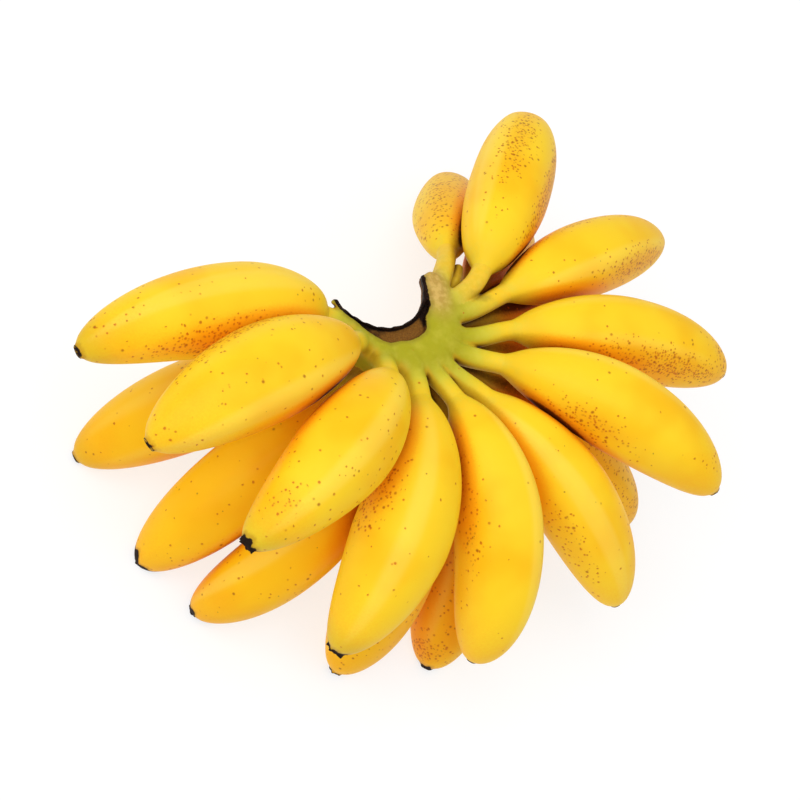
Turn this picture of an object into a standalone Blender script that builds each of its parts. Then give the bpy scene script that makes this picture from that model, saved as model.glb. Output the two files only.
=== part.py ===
"""A hand of short bananas on its crown, standing crown up on the tips of its lower row.

Metres, +Z up. The origin is on the surface that the hand stands on, under the middle of its box.
Bearings are degrees anticlockwise from +X, seen from above. Slopes are degrees above the horizontal.
"""

import math
from collections import namedtuple

import bmesh
import bpy
from mathutils import Matrix, Vector
from mathutils.geometry import interpolate_bezier

MM = 0.001
GAP = 0.3 * MM

# Where the crown's middle stands
CROWN_AT = Vector((-6.7 * MM, 14.7 * MM, 73.5 * MM))

# A fruit's section and its ends, as shares of its girth unless they are lengths
SIDES = 15
BODY_RINGS = 14
WALK_STEPS = 56
TIP_ROUNDING = 0.64
RIDGES = 5
RIDGE_DEPTH = 0.022
STUB_GIRTH = 0.16
STUB_TAPER = 0.85
STUB_LENGTH = 1.0 * MM

# The necks, which bow, and widen towards the crown in which they are rooted
NECK_SIDES = 12
NECK_RINGS = 7
NECK_GIRTH = 0.235
SLIMMEST_NECK = 7.6
NECK_BOW = 0.4
NECK_SINK = 3.0 * MM
ROOT_FLARE = 1.2
ROOT_RADIUS = {"upper": 21.5 * MM, "lower": 24.0 * MM}
ROOT_HEIGHT = {"upper": 0.0, "lower": -12.0 * MM}

# The spur, a neck that bore no fruit, between two necks: its places from the crown's middle, and its radii
SPUR = (
    (Vector((15.0, 3.5, -6.0)), 3.4),
    (Vector((25.0, 14.0, -6.5)), 3.0),
    (Vector((29.4, 22.6, -10.0)), 2.3),
)

# The crown's cushion: an open horseshoe, with a straight end to each arm
CUSHION_RADIUS = 27.0 * MM
CUSHION_AT = Vector((-5.0 * MM, -7.0 * MM, 0.0))
CUSHION_TOP = 5.2 * MM
CUSHION_BASE = -15.5 * MM
CUSHION_ROUNDING = 5.0 * MM
CUSHION_ROUNDING_STEPS = 3
CUSHION_SIDES = 40
ARM_END = Vector((-1.6 * MM, 0.7 * MM, 0.0))
ARM_END_BEARING = 48.0
HORN_END = Vector((-3.0 * MM, -6.0 * MM, 0.0))
HORN_END_BEARING = 90.0
OPEN_SIDE = 60.0 * MM

# The place of the stalk, a leaning column, and the sunken scar that the knife left beside it
STALK_RADIUS = 20.0 * MM
STALK_AT = Vector((-14.3 * MM, 3.7 * MM, 5.0 * MM))
STALK_SLANT = Vector((-0.42, -0.42))
SCAR_RADIUS = 19.4 * MM
SCAR_AT = Vector((-10.5 * MM, -2.0 * MM, 0.0))
SCAR_FLOOR = 2.4 * MM
CUT_SIDES = 48
CUT_TOP = 30.0 * MM
CUT_BASE = -35.0 * MM

# The scar's upright torn edge, from its left end at the horn to its right end on the arm
LIP_OVERLAP = 0.6 * MM
LIP_THICKNESS = 1.6 * MM
LIP_BEVEL = 0.4 * MM
LIP_TOP = 5.0 * MM
LIP_FOOT = -9.0 * MM
LIP_RAGGED = 0.9 * MM
LIP_TEAR_TURNS = (2.9, 1.3)
LIP_HORN = 1.8 * MM
LIP_HORN_SHARE = 0.1
LIP_FROM = -153.0
LIP_TO = 16.0
LIP_STEPS = 44

# One banana. root: bearing of the neck's root from the cushion's middle. set_out, rise: bearing and slope
# of its way there. shoulder: where the fruit starts, in millimetres from the crown's middle. heading, slope:
# its way there. tip_heading, tip_slope: its way at the tip. length, girth: millimetres, with the girth as
# the belly's diameter. blunt: fullness of the tip. turn: how far its ridges are turned round it. belly:
# where the fruit is thickest, as a share of its length. full: fullness of the shoulder, less being fuller.
Finger = namedtuple(
    "Finger",
    "root set_out rise shoulder heading slope tip_heading tip_slope length girth blunt turn belly full",
    defaults=(0.48, 0.72),
)

UPPER_ROW = (
    Finger(-160, -168, 4, (-38.3, -11.6, 1.1), -175, 18, -150, -9, 101.5, 34.5, 2, 10, belly=0.35, full=0.46),
    Finger(-140, -148, 45, (-32, -28.5, 12.5), -151, 30, -144, -18, 100, 35, 1.9, 26),
    Finger(-112, -118, 40, (-17.5, -41.5, 12), -121, 30, -141, -23, 98, 34.5, 1.5, -20),
    Finger(-84, -76, 16, (-1.5, -46.5, 5), -95, 13, -123, -52, 103, 37, 1.5, 12, belly=0.54),
    Finger(-64, -60, 10, (15, -44, 4), -66.5, 13, -95, -64, 107, 32.5, 2.7, 40),
    Finger(-47, -60, 0, (31, -39.4, -0.6), -42, 1, -48, -43, 104, 33.6, 2.1, 24),
    Finger(-30, -28, -2, (39, -24.8, 2.4), -19, 18, -35, -20, 102, 34.2, 2, 38),
    Finger(-17, -14, 0, (45.5, -8.6, 2), 5.5, 9, -10.5, -18, 103, 33, 2.3, 30),
    Finger(6, 12, 4, (44.5, 9, 0.5), 30, 2, 24, -22, 102, 32.5, 2.1, 34),
    Finger(15, 36, 10, (34, 18, 2.5), 66.5, -1, 60, -24, 101, 34, 3.0, 20, full=0.54),
    Finger(30, 71, -14, (26.1, 31.5, -11.5), 69, -33, 53, -40, 101, 27, 2.3, 15, full=0.6),
)
LOWER_ROW = (
    Finger(-147, -160, -20, (-34.5, -22.5, -14.5), -165, -28, -162, -43, 100, 34.5, 2.1, 20),
    Finger(-122, -130, -12, (-24.7, -35.2, -14.5), -133.5, -16, -150, -58, 104, 32, 2.2, 0),
    Finger(-88, -100, -2, (-12.5, -55, -14.3), -111, -13, -171, -62, 100.5, 30, 2.4, 16),
    Finger(-68, -80, -10, (6.1, -49, -14.3), -90, -17, -117, -54, 101, 33.5, 2.5, 0),
    Finger(-50, -56, -16, (22.3, -43, -17.5), -64, -26, -108, -42, 101, 31.5, 3.2, 40),
    Finger(-26, -20, -16, (36, -24, -14), -16, -15, -22, -46, 117, 31, 2.5, 10, belly=0.56, full=0.9),
    Finger(-10, 0, -18, (38, -11.5, -14.3), 9, -23, 8, -40, 106, 27, 2.6, 25, belly=0.56, full=0.9),
    Finger(4, 18, -16, (39.5, 2.4, -13), 28, -20, 27, -45, 106, 27.5, 2.6, 5, belly=0.56, full=0.9),
    Finger(27, 46, -6, (36, 16.5, -15.5), 48, -22, 48, -46, 104, 27, 2.6, 30, belly=0.56, full=0.9),
)
ROWS = {"upper": UPPER_ROW, "lower": LOWER_ROW}

GREEN = (0.45, 0.43, 0.05, 1.0)
YELLOW = {"upper": (0.97, 0.62, 0.03, 1.0), "lower": (0.92, 0.45, 0.02, 1.0)}
CROWN_ROUGHNESS = 0.55
PEEL_ROUGHNESS = 0.45
UP = Vector((0.0, 0.0, 1.0))


def clear_scene():
    """Remove every object of the open file."""
    for thing in list(bpy.data.objects):
        bpy.data.objects.remove(thing, do_unlink=True)


def collection(name):
    """Return a new collection linked to the scene."""
    group = bpy.data.collections.new(name)
    bpy.context.scene.collection.children.link(group)
    return group


def principled(name, colour, roughness):
    """Return a Principled material of one colour."""
    material = bpy.data.materials.new(name)
    material.use_nodes = True
    shader = material.node_tree.nodes["Principled BSDF"]
    shader.inputs["Base Color"].default_value = colour
    shader.inputs["Roughness"].default_value = roughness
    shader.inputs["Metallic"].default_value = 0.0
    return material


def direction(bearing, slope):
    """Return the unit vector of a bearing and a slope in degrees."""
    b, s = math.radians(bearing), math.radians(slope)
    return Vector((math.cos(s) * math.cos(b), math.cos(s) * math.sin(b), math.sin(s)))


def walk(start, first, last, length):
    """Return points along an arc whose bearing and slope turn evenly from first to last."""
    points = [start.copy()]
    for i in range(WALK_STEPS):
        t = (i + 0.5) / WALK_STEPS
        way = direction(first[0] + (last[0] - first[0]) * t, first[1] + (last[1] - first[1]) * t)
        points.append(points[-1] + way * (length / WALK_STEPS))
    return points


def slimness(finger):
    """Return a neck's thickness, as a share of its fruit's girth."""
    return max(NECK_GIRTH, SLIMMEST_NECK / finger.girth)


def thickness(finger, u):
    """Return the fruit's thickness at u, as a share of its girth: a quick shoulder, then a rounded tip."""
    if u < finger.belly:
        slim = slimness(finger)
        return slim + (1 - slim) * math.sin(math.pi / 2 * u / finger.belly) ** finger.full
    past = (u - finger.belly) / (1 - finger.belly)
    return STUB_GIRTH + (1 - STUB_GIRTH) * max(0.0, 1 - past**finger.blunt) ** TIP_ROUNDING


def sample(points, distance, step):
    """Return the point at a distance along evenly spaced points, and the way that they run there."""
    place = min(max(distance / step, 0.0), len(points) - 1.001)
    i = int(place)
    way = (points[i + 1] - points[i]).normalized()
    return points[i].lerp(points[i + 1], place - i), way


def ring(centre, way, radius, sides, turn=0.0, ridge=0.0):
    """Return one ring of points square to the way, with RIDGES rounded ridges, turned by some degrees."""
    side = way.cross(UP).normalized()
    up = side.cross(way).normalized()
    points = []
    for i in range(sides):
        angle = math.tau * i / sides
        r = radius * (1 + ridge * math.cos(RIDGES * angle))
        angle += math.radians(turn)
        points.append(centre + (side * math.sin(angle) + up * math.cos(angle)) * r)
    return points


def loft(name, rings):
    """Return a closed mesh through rings of unlike size and section, with both ends capped."""
    bm = bmesh.new()
    loops = [[bm.verts.new(point) for point in points] for points in rings]
    count = len(loops[0])
    for low, high in zip(loops, loops[1:]):
        for i in range(count):
            j = (i + 1) % count
            bm.faces.new((low[i], high[i], high[j], low[j]))
    bm.faces.new(loops[0])
    bm.faces.new(list(reversed(loops[-1])))
    bmesh.ops.recalc_face_normals(bm, faces=bm.faces)
    mesh = bpy.data.meshes.new(name)
    bm.to_mesh(mesh)
    bm.free()
    return mesh


def add_object(name, mesh, group, material):
    """Return a named object with one material, in a collection."""
    thing = bpy.data.objects.new(name, mesh)
    thing.data.materials.clear()
    thing.data.materials.append(material)
    group.objects.link(thing)
    return thing


def shoulder_point(finger):
    """Return where a fruit starts."""
    return CROWN_AT + Vector(finger.shoulder) * MM


def neck_line(finger, row):
    """Return a neck's points and the ways that they run: a Bezier curve from the crown to the fruit."""
    root = CROWN_AT + CUSHION_AT + direction(finger.root, 0.0) * ROOT_RADIUS[row] + UP * ROOT_HEIGHT[row]
    shoulder = shoulder_point(finger)
    set_out = direction(finger.set_out, finger.rise)
    arrive = direction(finger.heading, finger.slope)
    handle = NECK_BOW * (shoulder - root).length
    points = interpolate_bezier(
        root, root + set_out * handle, shoulder - arrive * handle, shoulder, NECK_RINGS
    )
    between = [(after - before).normalized() for before, after in zip(points, points[2:])]
    return points, [set_out, *between, arrive]


def fruit_mesh(name, finger):
    """Return one banana: swept along its arc, and pressed flat where it stands on the surface."""
    first = (finger.heading, finger.slope)
    last = (finger.tip_heading, finger.tip_slope)
    length = finger.length * MM
    fruit = walk(shoulder_point(finger), first, last, length)
    step = length / WALK_STEPS
    radius = finger.girth * MM / 2
    rings = []
    for i in range(BODY_RINGS):
        u = 0.5 - 0.5 * math.cos(math.pi * i / (BODY_RINGS - 1))
        place, way = sample(fruit, max(u * (length - STUB_LENGTH), GAP), step)
        ridge = RIDGE_DEPTH * math.sin(math.pi * u)
        rings.append(ring(place, way, radius * thickness(finger, u), SIDES, finger.turn, ridge))
    end, way = sample(fruit, length, step)
    rings.append(ring(end, way, radius * STUB_GIRTH * STUB_TAPER, SIDES, finger.turn))
    mesh = loft(name, rings)
    press_flat(mesh)
    return mesh


def press_flat(mesh):
    """Cut off what would reach below the surface, and close the cut with a flat face."""
    bm = bmesh.new()
    bm.from_mesh(mesh)
    if min(vert.co.z for vert in bm.verts) < 0.0:
        everything = bm.verts[:] + bm.edges[:] + bm.faces[:]
        cut = bmesh.ops.bisect_plane(
            bm, geom=everything, plane_co=(0, 0, 0), plane_no=(0, 0, -1), clear_outer=True, dist=1e-6
        )
        edges = [item for item in cut["geom_cut"] if isinstance(item, bmesh.types.BMEdge)]
        bmesh.ops.contextual_create(bm, geom=edges)
        bmesh.ops.recalc_face_normals(bm, faces=bm.faces)
        bm.to_mesh(mesh)
    bm.free()


def neck_object(finger, row, group):
    """Return one neck, from inside the cushion to the fruit's shoulder."""
    points, ways = neck_line(finger, row)
    radius = finger.girth * MM / 2 * slimness(finger)
    rings = [ring(points[0] - ways[0] * NECK_SINK, ways[0], radius, NECK_SIDES)]
    last = len(points) - 1
    for i, (place, way) in enumerate(zip(points, ways)):
        flare = 1 + (ROOT_FLARE - 1) * (1 - i / last) ** 2
        if i == last:
            place = place - way * GAP
        rings.append(ring(place, way, radius * flare, NECK_SIDES))
    return add_object("neck", loft("neck", rings), group, bpy.data.materials["crown_skin"])


def spur_object(group):
    """Return the spur, a short neck without a fruit."""
    way = (SPUR[-1][0] - SPUR[0][0]).normalized()
    rings = [ring(CROWN_AT + place * MM, way, radius * MM, NECK_SIDES) for place, radius in SPUR]
    return add_object("spur", loft("spur", rings), group, bpy.data.materials["crown_skin"])


def cylinder(name, radius, low, high, centre, sides, group):
    """Return an upright cylinder between two heights, round a point of the crown."""
    mesh = bpy.data.meshes.new(name)
    bm = bmesh.new()
    bmesh.ops.create_cone(bm, cap_ends=True, segments=sides, radius1=radius, radius2=radius, depth=high - low)
    bmesh.ops.translate(bm, vec=CROWN_AT + centre + UP * ((low + high) / 2), verts=bm.verts)
    bm.to_mesh(mesh)
    bm.free()
    return add_object(name, mesh, group, bpy.data.materials["crown_skin"])


def block_cutter(name, corner, bearing, group):
    """Return a block that reaches from a corner of the crown along a bearing and to its left."""
    mesh = bpy.data.meshes.new(name)
    bm = bmesh.new()
    bmesh.ops.create_cube(bm, size=OPEN_SIDE)
    bmesh.ops.translate(bm, vec=(OPEN_SIDE / 2, OPEN_SIDE / 2, 0), verts=bm.verts)
    bmesh.ops.rotate(bm, matrix=Matrix.Rotation(math.radians(bearing), 3, "Z"), verts=bm.verts)
    bmesh.ops.translate(bm, vec=CROWN_AT + corner, verts=bm.verts)
    bm.to_mesh(mesh)
    bm.free()
    return add_object(name, mesh, group, bpy.data.materials["crown_skin"])


def stalk_axis(height):
    """Return the middle of the leaning stalk at a height."""
    above = height - STALK_AT.z
    return CROWN_AT + Vector((STALK_AT.x + STALK_SLANT.x * above, STALK_AT.y + STALK_SLANT.y * above, height))


def stalk_cutter(group):
    """Return the stalk's place in the crown: a round column that leans."""
    round_it = [direction(360.0 * i / CUT_SIDES, 0.0) * STALK_RADIUS for i in range(CUT_SIDES)]
    rings = [[stalk_axis(height) + out for out in round_it] for height in (CUT_BASE, CUT_TOP)]
    return add_object("stalk", loft("stalk", rings), group, bpy.data.materials["crown_skin"])


def lip_height(i):
    """Return the torn edge's height at step i: two sine waves, and a horn at each end."""
    fast, slow = LIP_TEAR_TURNS
    torn = LIP_RAGGED * (math.sin(fast * i) + math.sin(slow * i) / 2)
    from_end = min(i, LIP_STEPS - i) / LIP_STEPS
    return LIP_TOP + torn + LIP_HORN * max(0.0, 1 - from_end / LIP_HORN_SHARE)


def lip_object(group):
    """Return the scar's ragged upright edge: a thin wall along the stalk's side, with a torn top."""
    inner = STALK_RADIUS - LIP_OVERLAP
    outer = inner + LIP_THICKNESS
    rings = []
    for i in range(LIP_STEPS + 1):
        out = direction(LIP_FROM + (LIP_TO - LIP_FROM) * i / LIP_STEPS, 0.0)
        top = lip_height(i)
        rings.append([
            stalk_axis(LIP_FOOT) + out * inner,
            stalk_axis(LIP_FOOT) + out * outer,
            stalk_axis(top - LIP_BEVEL) + out * outer,
            stalk_axis(top) + out * inner,
        ])
    return add_object("lip", loft("lip", rings), group, bpy.data.materials["crown_skin"])


def boolean(target, operation, other):
    """Apply one exact Boolean with an object or a collection of objects."""
    modifier = target.modifiers.new(operation.lower(), "BOOLEAN")
    modifier.operation = operation
    modifier.solver = "EXACT"
    if isinstance(other, bpy.types.Collection):
        modifier.operand_type = "COLLECTION"
        modifier.collection = other
    else:
        modifier.object = other
    bpy.context.view_layer.update()
    evaluated = target.evaluated_get(bpy.context.evaluated_depsgraph_get())
    mesh = bpy.data.meshes.new_from_object(evaluated)
    target.modifiers.clear()
    target.data = mesh


def empty(group):
    """Remove every object of a collection."""
    for thing in list(group.objects):
        bpy.data.objects.remove(thing, do_unlink=True)


def cushion(group, scrap):
    """Return the crown's rounded cushion, with its open side cut away beyond both arms."""
    crown = cylinder("crown", CUSHION_RADIUS, CUSHION_BASE, CUSHION_TOP, CUSHION_AT, CUSHION_SIDES, group)
    rounding = crown.modifiers.new("rounding", "BEVEL")
    rounding.width = CUSHION_ROUNDING
    rounding.segments = CUSHION_ROUNDING_STEPS
    rounding.limit_method = "ANGLE"
    boolean(crown, "DIFFERENCE", block_cutter("arm_end", ARM_END, ARM_END_BEARING, scrap))
    boolean(crown, "DIFFERENCE", block_cutter("horn_end", HORN_END, HORN_END_BEARING, scrap))
    return crown


def build_crown(group):
    """Return the crown: a rounded cushion joined with every neck, cut free of the stalk."""
    scrap = collection("crown_pieces")
    crown = cushion(group, scrap)
    empty(scrap)
    for row, fingers in ROWS.items():
        for finger in fingers:
            neck_object(finger, row, scrap)
    spur_object(scrap)
    boolean(crown, "UNION", scrap)
    scar = cylinder("scar", SCAR_RADIUS, SCAR_FLOOR, CUT_TOP, SCAR_AT, CUT_SIDES, scrap)
    boolean(crown, "DIFFERENCE", scar)
    boolean(crown, "DIFFERENCE", stalk_cutter(scrap))
    boolean(crown, "UNION", lip_object(scrap))
    empty(scrap)
    bpy.data.collections.remove(scrap)
    return crown


def main():
    """Build the crown and both rows of bananas."""
    clear_scene()
    hand = collection("banana_hand")
    principled("crown_skin", GREEN, CROWN_ROUGHNESS)
    build_crown(hand)
    for row, fingers in ROWS.items():
        for number, finger in enumerate(fingers, start=1):
            name = f"finger_{row}_{number:02d}"
            peel = principled(f"{name}_peel", YELLOW[row], PEEL_ROUGHNESS)
            thing = add_object(name, fruit_mesh(name, finger), hand, peel)
            thing.data.shade_smooth()


main()
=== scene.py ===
"""The looks of a hand of baby bananas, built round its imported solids.

Lengths are in millimetres and angles in degrees until a mesh is written, in metres, with +Z up and the
origin on the floor under the middle of the hand. A banana's line starts at its root on the crown, at minus
the neck's length, passes the shoulder, where the fruit starts, at 0, and ends at the fruit's length. Round
a banana, angle 0 is its upper side and 90 its right side, for someone who looks from the crown to the tip.
"""

import logging
import math
from collections.abc import Callable
from dataclasses import dataclass, field
from enum import Enum

import bpy
import numpy as np
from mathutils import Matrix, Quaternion, Vector

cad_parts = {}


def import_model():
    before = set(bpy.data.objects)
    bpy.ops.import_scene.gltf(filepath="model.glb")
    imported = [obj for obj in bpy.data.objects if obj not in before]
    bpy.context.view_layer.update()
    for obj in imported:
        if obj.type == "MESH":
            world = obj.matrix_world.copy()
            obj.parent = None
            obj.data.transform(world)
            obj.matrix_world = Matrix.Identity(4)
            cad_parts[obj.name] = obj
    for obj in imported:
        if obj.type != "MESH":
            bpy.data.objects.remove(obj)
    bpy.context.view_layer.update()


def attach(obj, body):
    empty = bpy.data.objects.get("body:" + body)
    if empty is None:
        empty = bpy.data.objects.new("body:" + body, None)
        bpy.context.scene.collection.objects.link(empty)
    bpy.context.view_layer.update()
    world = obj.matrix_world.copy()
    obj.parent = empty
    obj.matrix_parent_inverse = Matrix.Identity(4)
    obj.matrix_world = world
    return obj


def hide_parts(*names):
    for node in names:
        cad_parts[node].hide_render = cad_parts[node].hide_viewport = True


log = logging.getLogger("banana_hand")

METRES = 0.001
UP = np.array([0.0, 0.0, 1.0])

# Settings that many nodes share: a smooth ramp, and a mix of colours
SMOOTH = {"interpolation_type": "SMOOTHSTEP"}
COLOURS = {"output": 2, "data_type": "RGBA"}
Socket = bpy.types.NodeSocket
Distance = Callable[[np.ndarray], np.ndarray]

# Inputs by number: of a ramp from one range of values to another, and of a mix of two colours
VALUE, LOW, HIGH, TO_LOW, TO_HIGH = range(5)
SHARE, UNDER, OVER = 0, 6, 7

# Where the crown's middle stands, and the skin of every banana, as in the solids
CROWN_AT = np.array([-6.7, 14.7, 73.5])
NECK_GIRTH = 0.235
SLIMMEST_NECK = 7.6
ROOT_FLARE = 1.2
NECK_BOW = 0.4
TIP_ROUNDING = 0.64
STUB_GIRTH = 0.16
STUB_TAPER = 0.85
STUB_LENGTH = 1.0

# Past the shoulder each of the two skins, the neck's and the fruit's, dips under the other, by this many
# millimetres times the square of the distance
SEAM_DIP = 0.06

# A depth in millimetres that is far outside any dried place, and how far up a surface's normal points where
# the bananas above begin to shade it, and where they shade it in full
NOWHERE = -9.0
FACES_UP = (-0.4, 0.3)

# The cushion's middle, seen from the crown's
CUSHION_AT = np.array([-5.0, -7.0, 0.0])


class Row(Enum):
    """The two rows of bananas: the roots' radius round the cushion's middle, and their height."""

    UPPER = (21.5, 0.0)
    LOWER = (24.0, -12.0)

    @property
    def word(self) -> str:
        """Return the row's word in names of nodes and slots."""
        return self.name.lower()


class BlossomEnd(Enum):
    """What the flower left at the tip: how far its collar flares in millimetres, and its lobes' sharpness."""

    CUT = (0.12, 1.0)
    NUB = (0.55, 1.4)
    STAR = (1.2, 2.0)


@dataclass(frozen=True)
class Patch:
    """A patch of freckles.

    along is its middle, as a share of the fruit's length, and around its middle round the fruit. reach is
    how far it goes along the fruit, as a share, and width how far it goes round, in degrees.
    """

    along: float
    around: float
    reach: float
    width: float
    density: float


@dataclass(frozen=True)
class Finger:
    """One banana.

    root is the bearing of its root from the cushion's middle, set_out and rise are how its neck leaves it,
    shoulder is where the fruit starts, from the crown's middle, heading and slope are its way there, and
    tip_heading and tip_slope its way at the tip. length and girth are millimetres. blunt is the tip's
    fullness, full the shoulder's, less being fuller, and belly the place of the thickest part. dried is how
    far the husk of the flower reaches back from the tip, facet turns the section's ridges, and green_tip,
    tan and sparse are shares: of young peel at the tip, of tan peel, and of freckles outside the patches.
    """

    root: float
    set_out: float
    rise: float
    shoulder: tuple[float, float, float]
    heading: float
    slope: float
    tip_heading: float
    tip_slope: float
    length: float
    girth: float
    blunt: float
    belly: float = 0.48
    full: float = 0.72
    end: BlossomEnd = BlossomEnd.CUT
    dried: float = 0.0
    facet: float = 0.0
    green_tip: float = 0.0
    tan: float = 0.0
    sparse: float = 0.1
    patches: tuple[Patch, ...] = ()


UPPER_FINGERS = (
    Finger(-160, -168, 4, (-38.3, -11.6, 1.1), -175, 18, -150, -9, 101.5, 34.5, 2, belly=0.35, full=0.46,
           dried=0.15, facet=10, green_tip=0.5,
           patches=(Patch(0.5, -66, 0.32, 32, 0.95), Patch(0.93, 0, 0.06, 90, 0.3))),
    Finger(-140, -148, 45, (-32, -28.5, 12.5), -151, 30, -144, -18, 100, 35.0, 1.9,
           dried=0.2, facet=26, green_tip=0.1, patches=(Patch(0.5, 74, 0.32, 26, 0.95),)),
    Finger(-112, -118, 40, (-17.5, -41.5, 12), -121, 30, -141, -23, 98, 34.5, 1.5, end=BlossomEnd.STAR,
           dried=1.8, facet=-20, green_tip=0.5, sparse=0.14, patches=(Patch(0.82, 10, 0.1, 50, 0.45),)),
    Finger(-84, -76, 16, (-1.5, -46.5, 5), -95, 13, -123, -52, 103, 37.0, 1.5, belly=0.54,
           end=BlossomEnd.STAR, dried=1.9, facet=12, green_tip=0.5, sparse=0.06,
           patches=(Patch(0.36, 72, 0.2, 34, 1.0),)),
    Finger(-64, -60, 10, (15, -44, 4), -66.5, 13, -95, -64, 107, 32.5, 2.7, dried=1.0, facet=40,
           sparse=0.05, patches=(Patch(0.45, 75, 0.3, 30, 0.5),)),
    Finger(-47, -60, 0, (31, -39.4, -0.6), -42, 1, -48, -43, 104, 33.6, 2.1, dried=0.6, facet=24,
           sparse=0.06, patches=(Patch(0.6, 72, 0.25, 26, 0.65),)),
    Finger(-30, -28, -2, (39, -24.8, 2.4), -19, 18, -35, -20, 102, 34.2, 2, dried=0.4, facet=38, sparse=0.05,
           patches=(Patch(0.35, 72, 0.22, 26, 0.8), Patch(0.9, -20, 0.1, 60, 0.3))),
    Finger(-17, -14, 0, (45.5, -8.6, 2), 5.5, 9, -10.5, -18, 103, 33, 2.3, dried=0.8, facet=30, sparse=0.06,
           patches=(Patch(0.62, 56, 0.4, 28, 1.0), Patch(0.9, 0, 0.08, 80, 0.6))),
    Finger(6, 12, 4, (44.5, 9, 0.5), 30, 2, 24, -22, 102, 32.5, 2.1, dried=0.5, facet=34, sparse=0.06,
           patches=(Patch(0.66, 52, 0.3, 28, 1.0), Patch(0.45, -58, 0.3, 18, 0.6))),
    Finger(15, 36, 10, (34, 18, 2.5), 66.5, -1, 60, -24, 101, 34.0, 3.0, belly=0.48, full=0.54,
           facet=20, sparse=0.08, patches=(Patch(0.6, -24, 0.36, 30, 0.72), Patch(0.5, 58, 0.4, 22, 1.3))),
    Finger(30, 71, -14, (26.1, 31.5, -11.5), 69, -33, 53, -40, 101, 27, 2.3, full=0.6, facet=15,
           tan=0.1, sparse=0.4, patches=(Patch(0.35, -40, 0.3, 50, 0.75), Patch(0.3, 60, 0.2, 40, 0.6))),
)
LOWER_FINGERS = (
    Finger(-147, -160, -20, (-34.5, -22.5, -14.5), -165, -28, -162, -43, 100, 34.5, 2.1, dried=0.6,
           facet=20, green_tip=0.3),
    Finger(-122, -130, -12, (-24.7, -35.2, -14.5), -133.5, -16, -150, -58, 104, 32, 2.2,
           end=BlossomEnd.NUB, dried=5.0, facet=0),
    Finger(-88, -100, -2, (-12.5, -55, -14.3), -111, -13, -171, -62, 100.5, 30, 2.4,
           end=BlossomEnd.NUB, dried=3.2, facet=16),
    Finger(-68, -80, -10, (6.1, -49, -14.3), -90, -17, -117, -54, 101, 33.5, 2.5,
           end=BlossomEnd.NUB, dried=0.8, facet=0, sparse=0.15),
    Finger(-50, -56, -16, (22.3, -43, -17.5), -64, -26, -108, -42, 101, 31.5, 3.2, dried=1.6, facet=40,
           sparse=0.3, patches=(Patch(0.92, 40, 0.08, 60, 0.9),)),
    Finger(-26, -20, -16, (36, -24, -14), -16, -15, -22, -46, 117, 31, 2.5, belly=0.56, full=0.9,
           facet=10, sparse=0.4, patches=(Patch(0.6, 0, 0.4, 120, 0.5),)),
    Finger(-10, 0, -18, (38, -11.5, -14.3), 9, -23, 8, -40, 106, 27, 2.6, belly=0.56, full=0.9,
           facet=25, tan=0.2, sparse=0.3, patches=(Patch(0.6, 30, 0.3, 60, 0.5),)),
    Finger(4, 18, -16, (39.5, 2.4, -13), 28, -20, 27, -45, 106, 27.5, 2.6, belly=0.56, full=0.9,
           end=BlossomEnd.NUB, dried=1.4, facet=5, tan=0.1, sparse=0.25,
           patches=(Patch(0.5, -40, 0.3, 60, 0.5),)),
    Finger(27, 46, -6, (36, 16.5, -15.5), 48, -22, 48, -46, 104, 27, 2.6, belly=0.56, full=0.9,
           dried=0.6, facet=30, tan=0.1, sparse=0.25, patches=(Patch(0.5, 60, 0.3, 60, 0.6),)),
)
FINGERS = {Row.UPPER: UPPER_FINGERS, Row.LOWER: LOWER_FINGERS}


def smooth_step(low: float, high: float, value: np.ndarray) -> np.ndarray:
    """Return 0 before low and 1 past high, with the cubic 3t² - 2t³ between them."""
    t = np.clip((value - low) / (high - low), 0.0, 1.0)
    return t * t * (3 - 2 * t)


def bell(offset: np.ndarray, width: float) -> np.ndarray:
    """Return a Gaussian bump of that width: e to the minus square of offset over width."""
    return np.exp(-((offset / width) ** 2))


def smooth_min(a: np.ndarray, b: np.ndarray, blend: float) -> np.ndarray:
    """Return the lesser of two distances, with a quadratic fillet where they differ by less than blend."""
    share = np.clip(0.5 + 0.5 * (b - a) / blend, 0.0, 1.0)
    return b + (a - b) * share - blend * share * (1 - share)


def smooth_max(a: np.ndarray, b: np.ndarray, blend: float) -> np.ndarray:
    """Return the greater of two distances, rounded like smooth_min."""
    return -smooth_min(-a, -b, blend)


def angle_between(a: np.ndarray, b: float) -> np.ndarray:
    """Return the difference of two angles in degrees, between -180 and 180."""
    return (a - b + 180.0) % 360.0 - 180.0


def ways(bearing: np.ndarray, slope: np.ndarray) -> np.ndarray:
    """Return unit vectors, one a row, for bearings and slopes in degrees."""
    b, s = np.radians(bearing), np.radians(slope)
    return np.stack([np.cos(s) * np.cos(b), np.cos(s) * np.sin(b), np.sin(s)], axis=-1)


def waves(points: np.ndarray, size: float, phase: float) -> np.ndarray:
    """Return soft lumps between about -1 and 1: the mean of three products of sines, turned to each other.

    Args:
        points: places in millimetres, one a row.
        size: the lumps' rough size in millimetres.
        phase: any number, for lumps of another draw.

    Returns:
        One height a point.
    """
    x, y, z = (points / size).T
    first = np.sin(1.7 * x + phase) * np.sin(1.9 * y - 2.3 * phase + 1.1 * z)
    second = np.sin(2.9 * y + 1.3 * x + 0.7 * phase) * np.sin(2.3 * z - 0.9 * x + phase)
    third = np.sin(4.3 * z - 3.1 * y + 1.9 * phase) * np.sin(3.7 * x + 2.1 * y - phase)
    return (first + second + 0.7 * third) / 2.7


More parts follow.
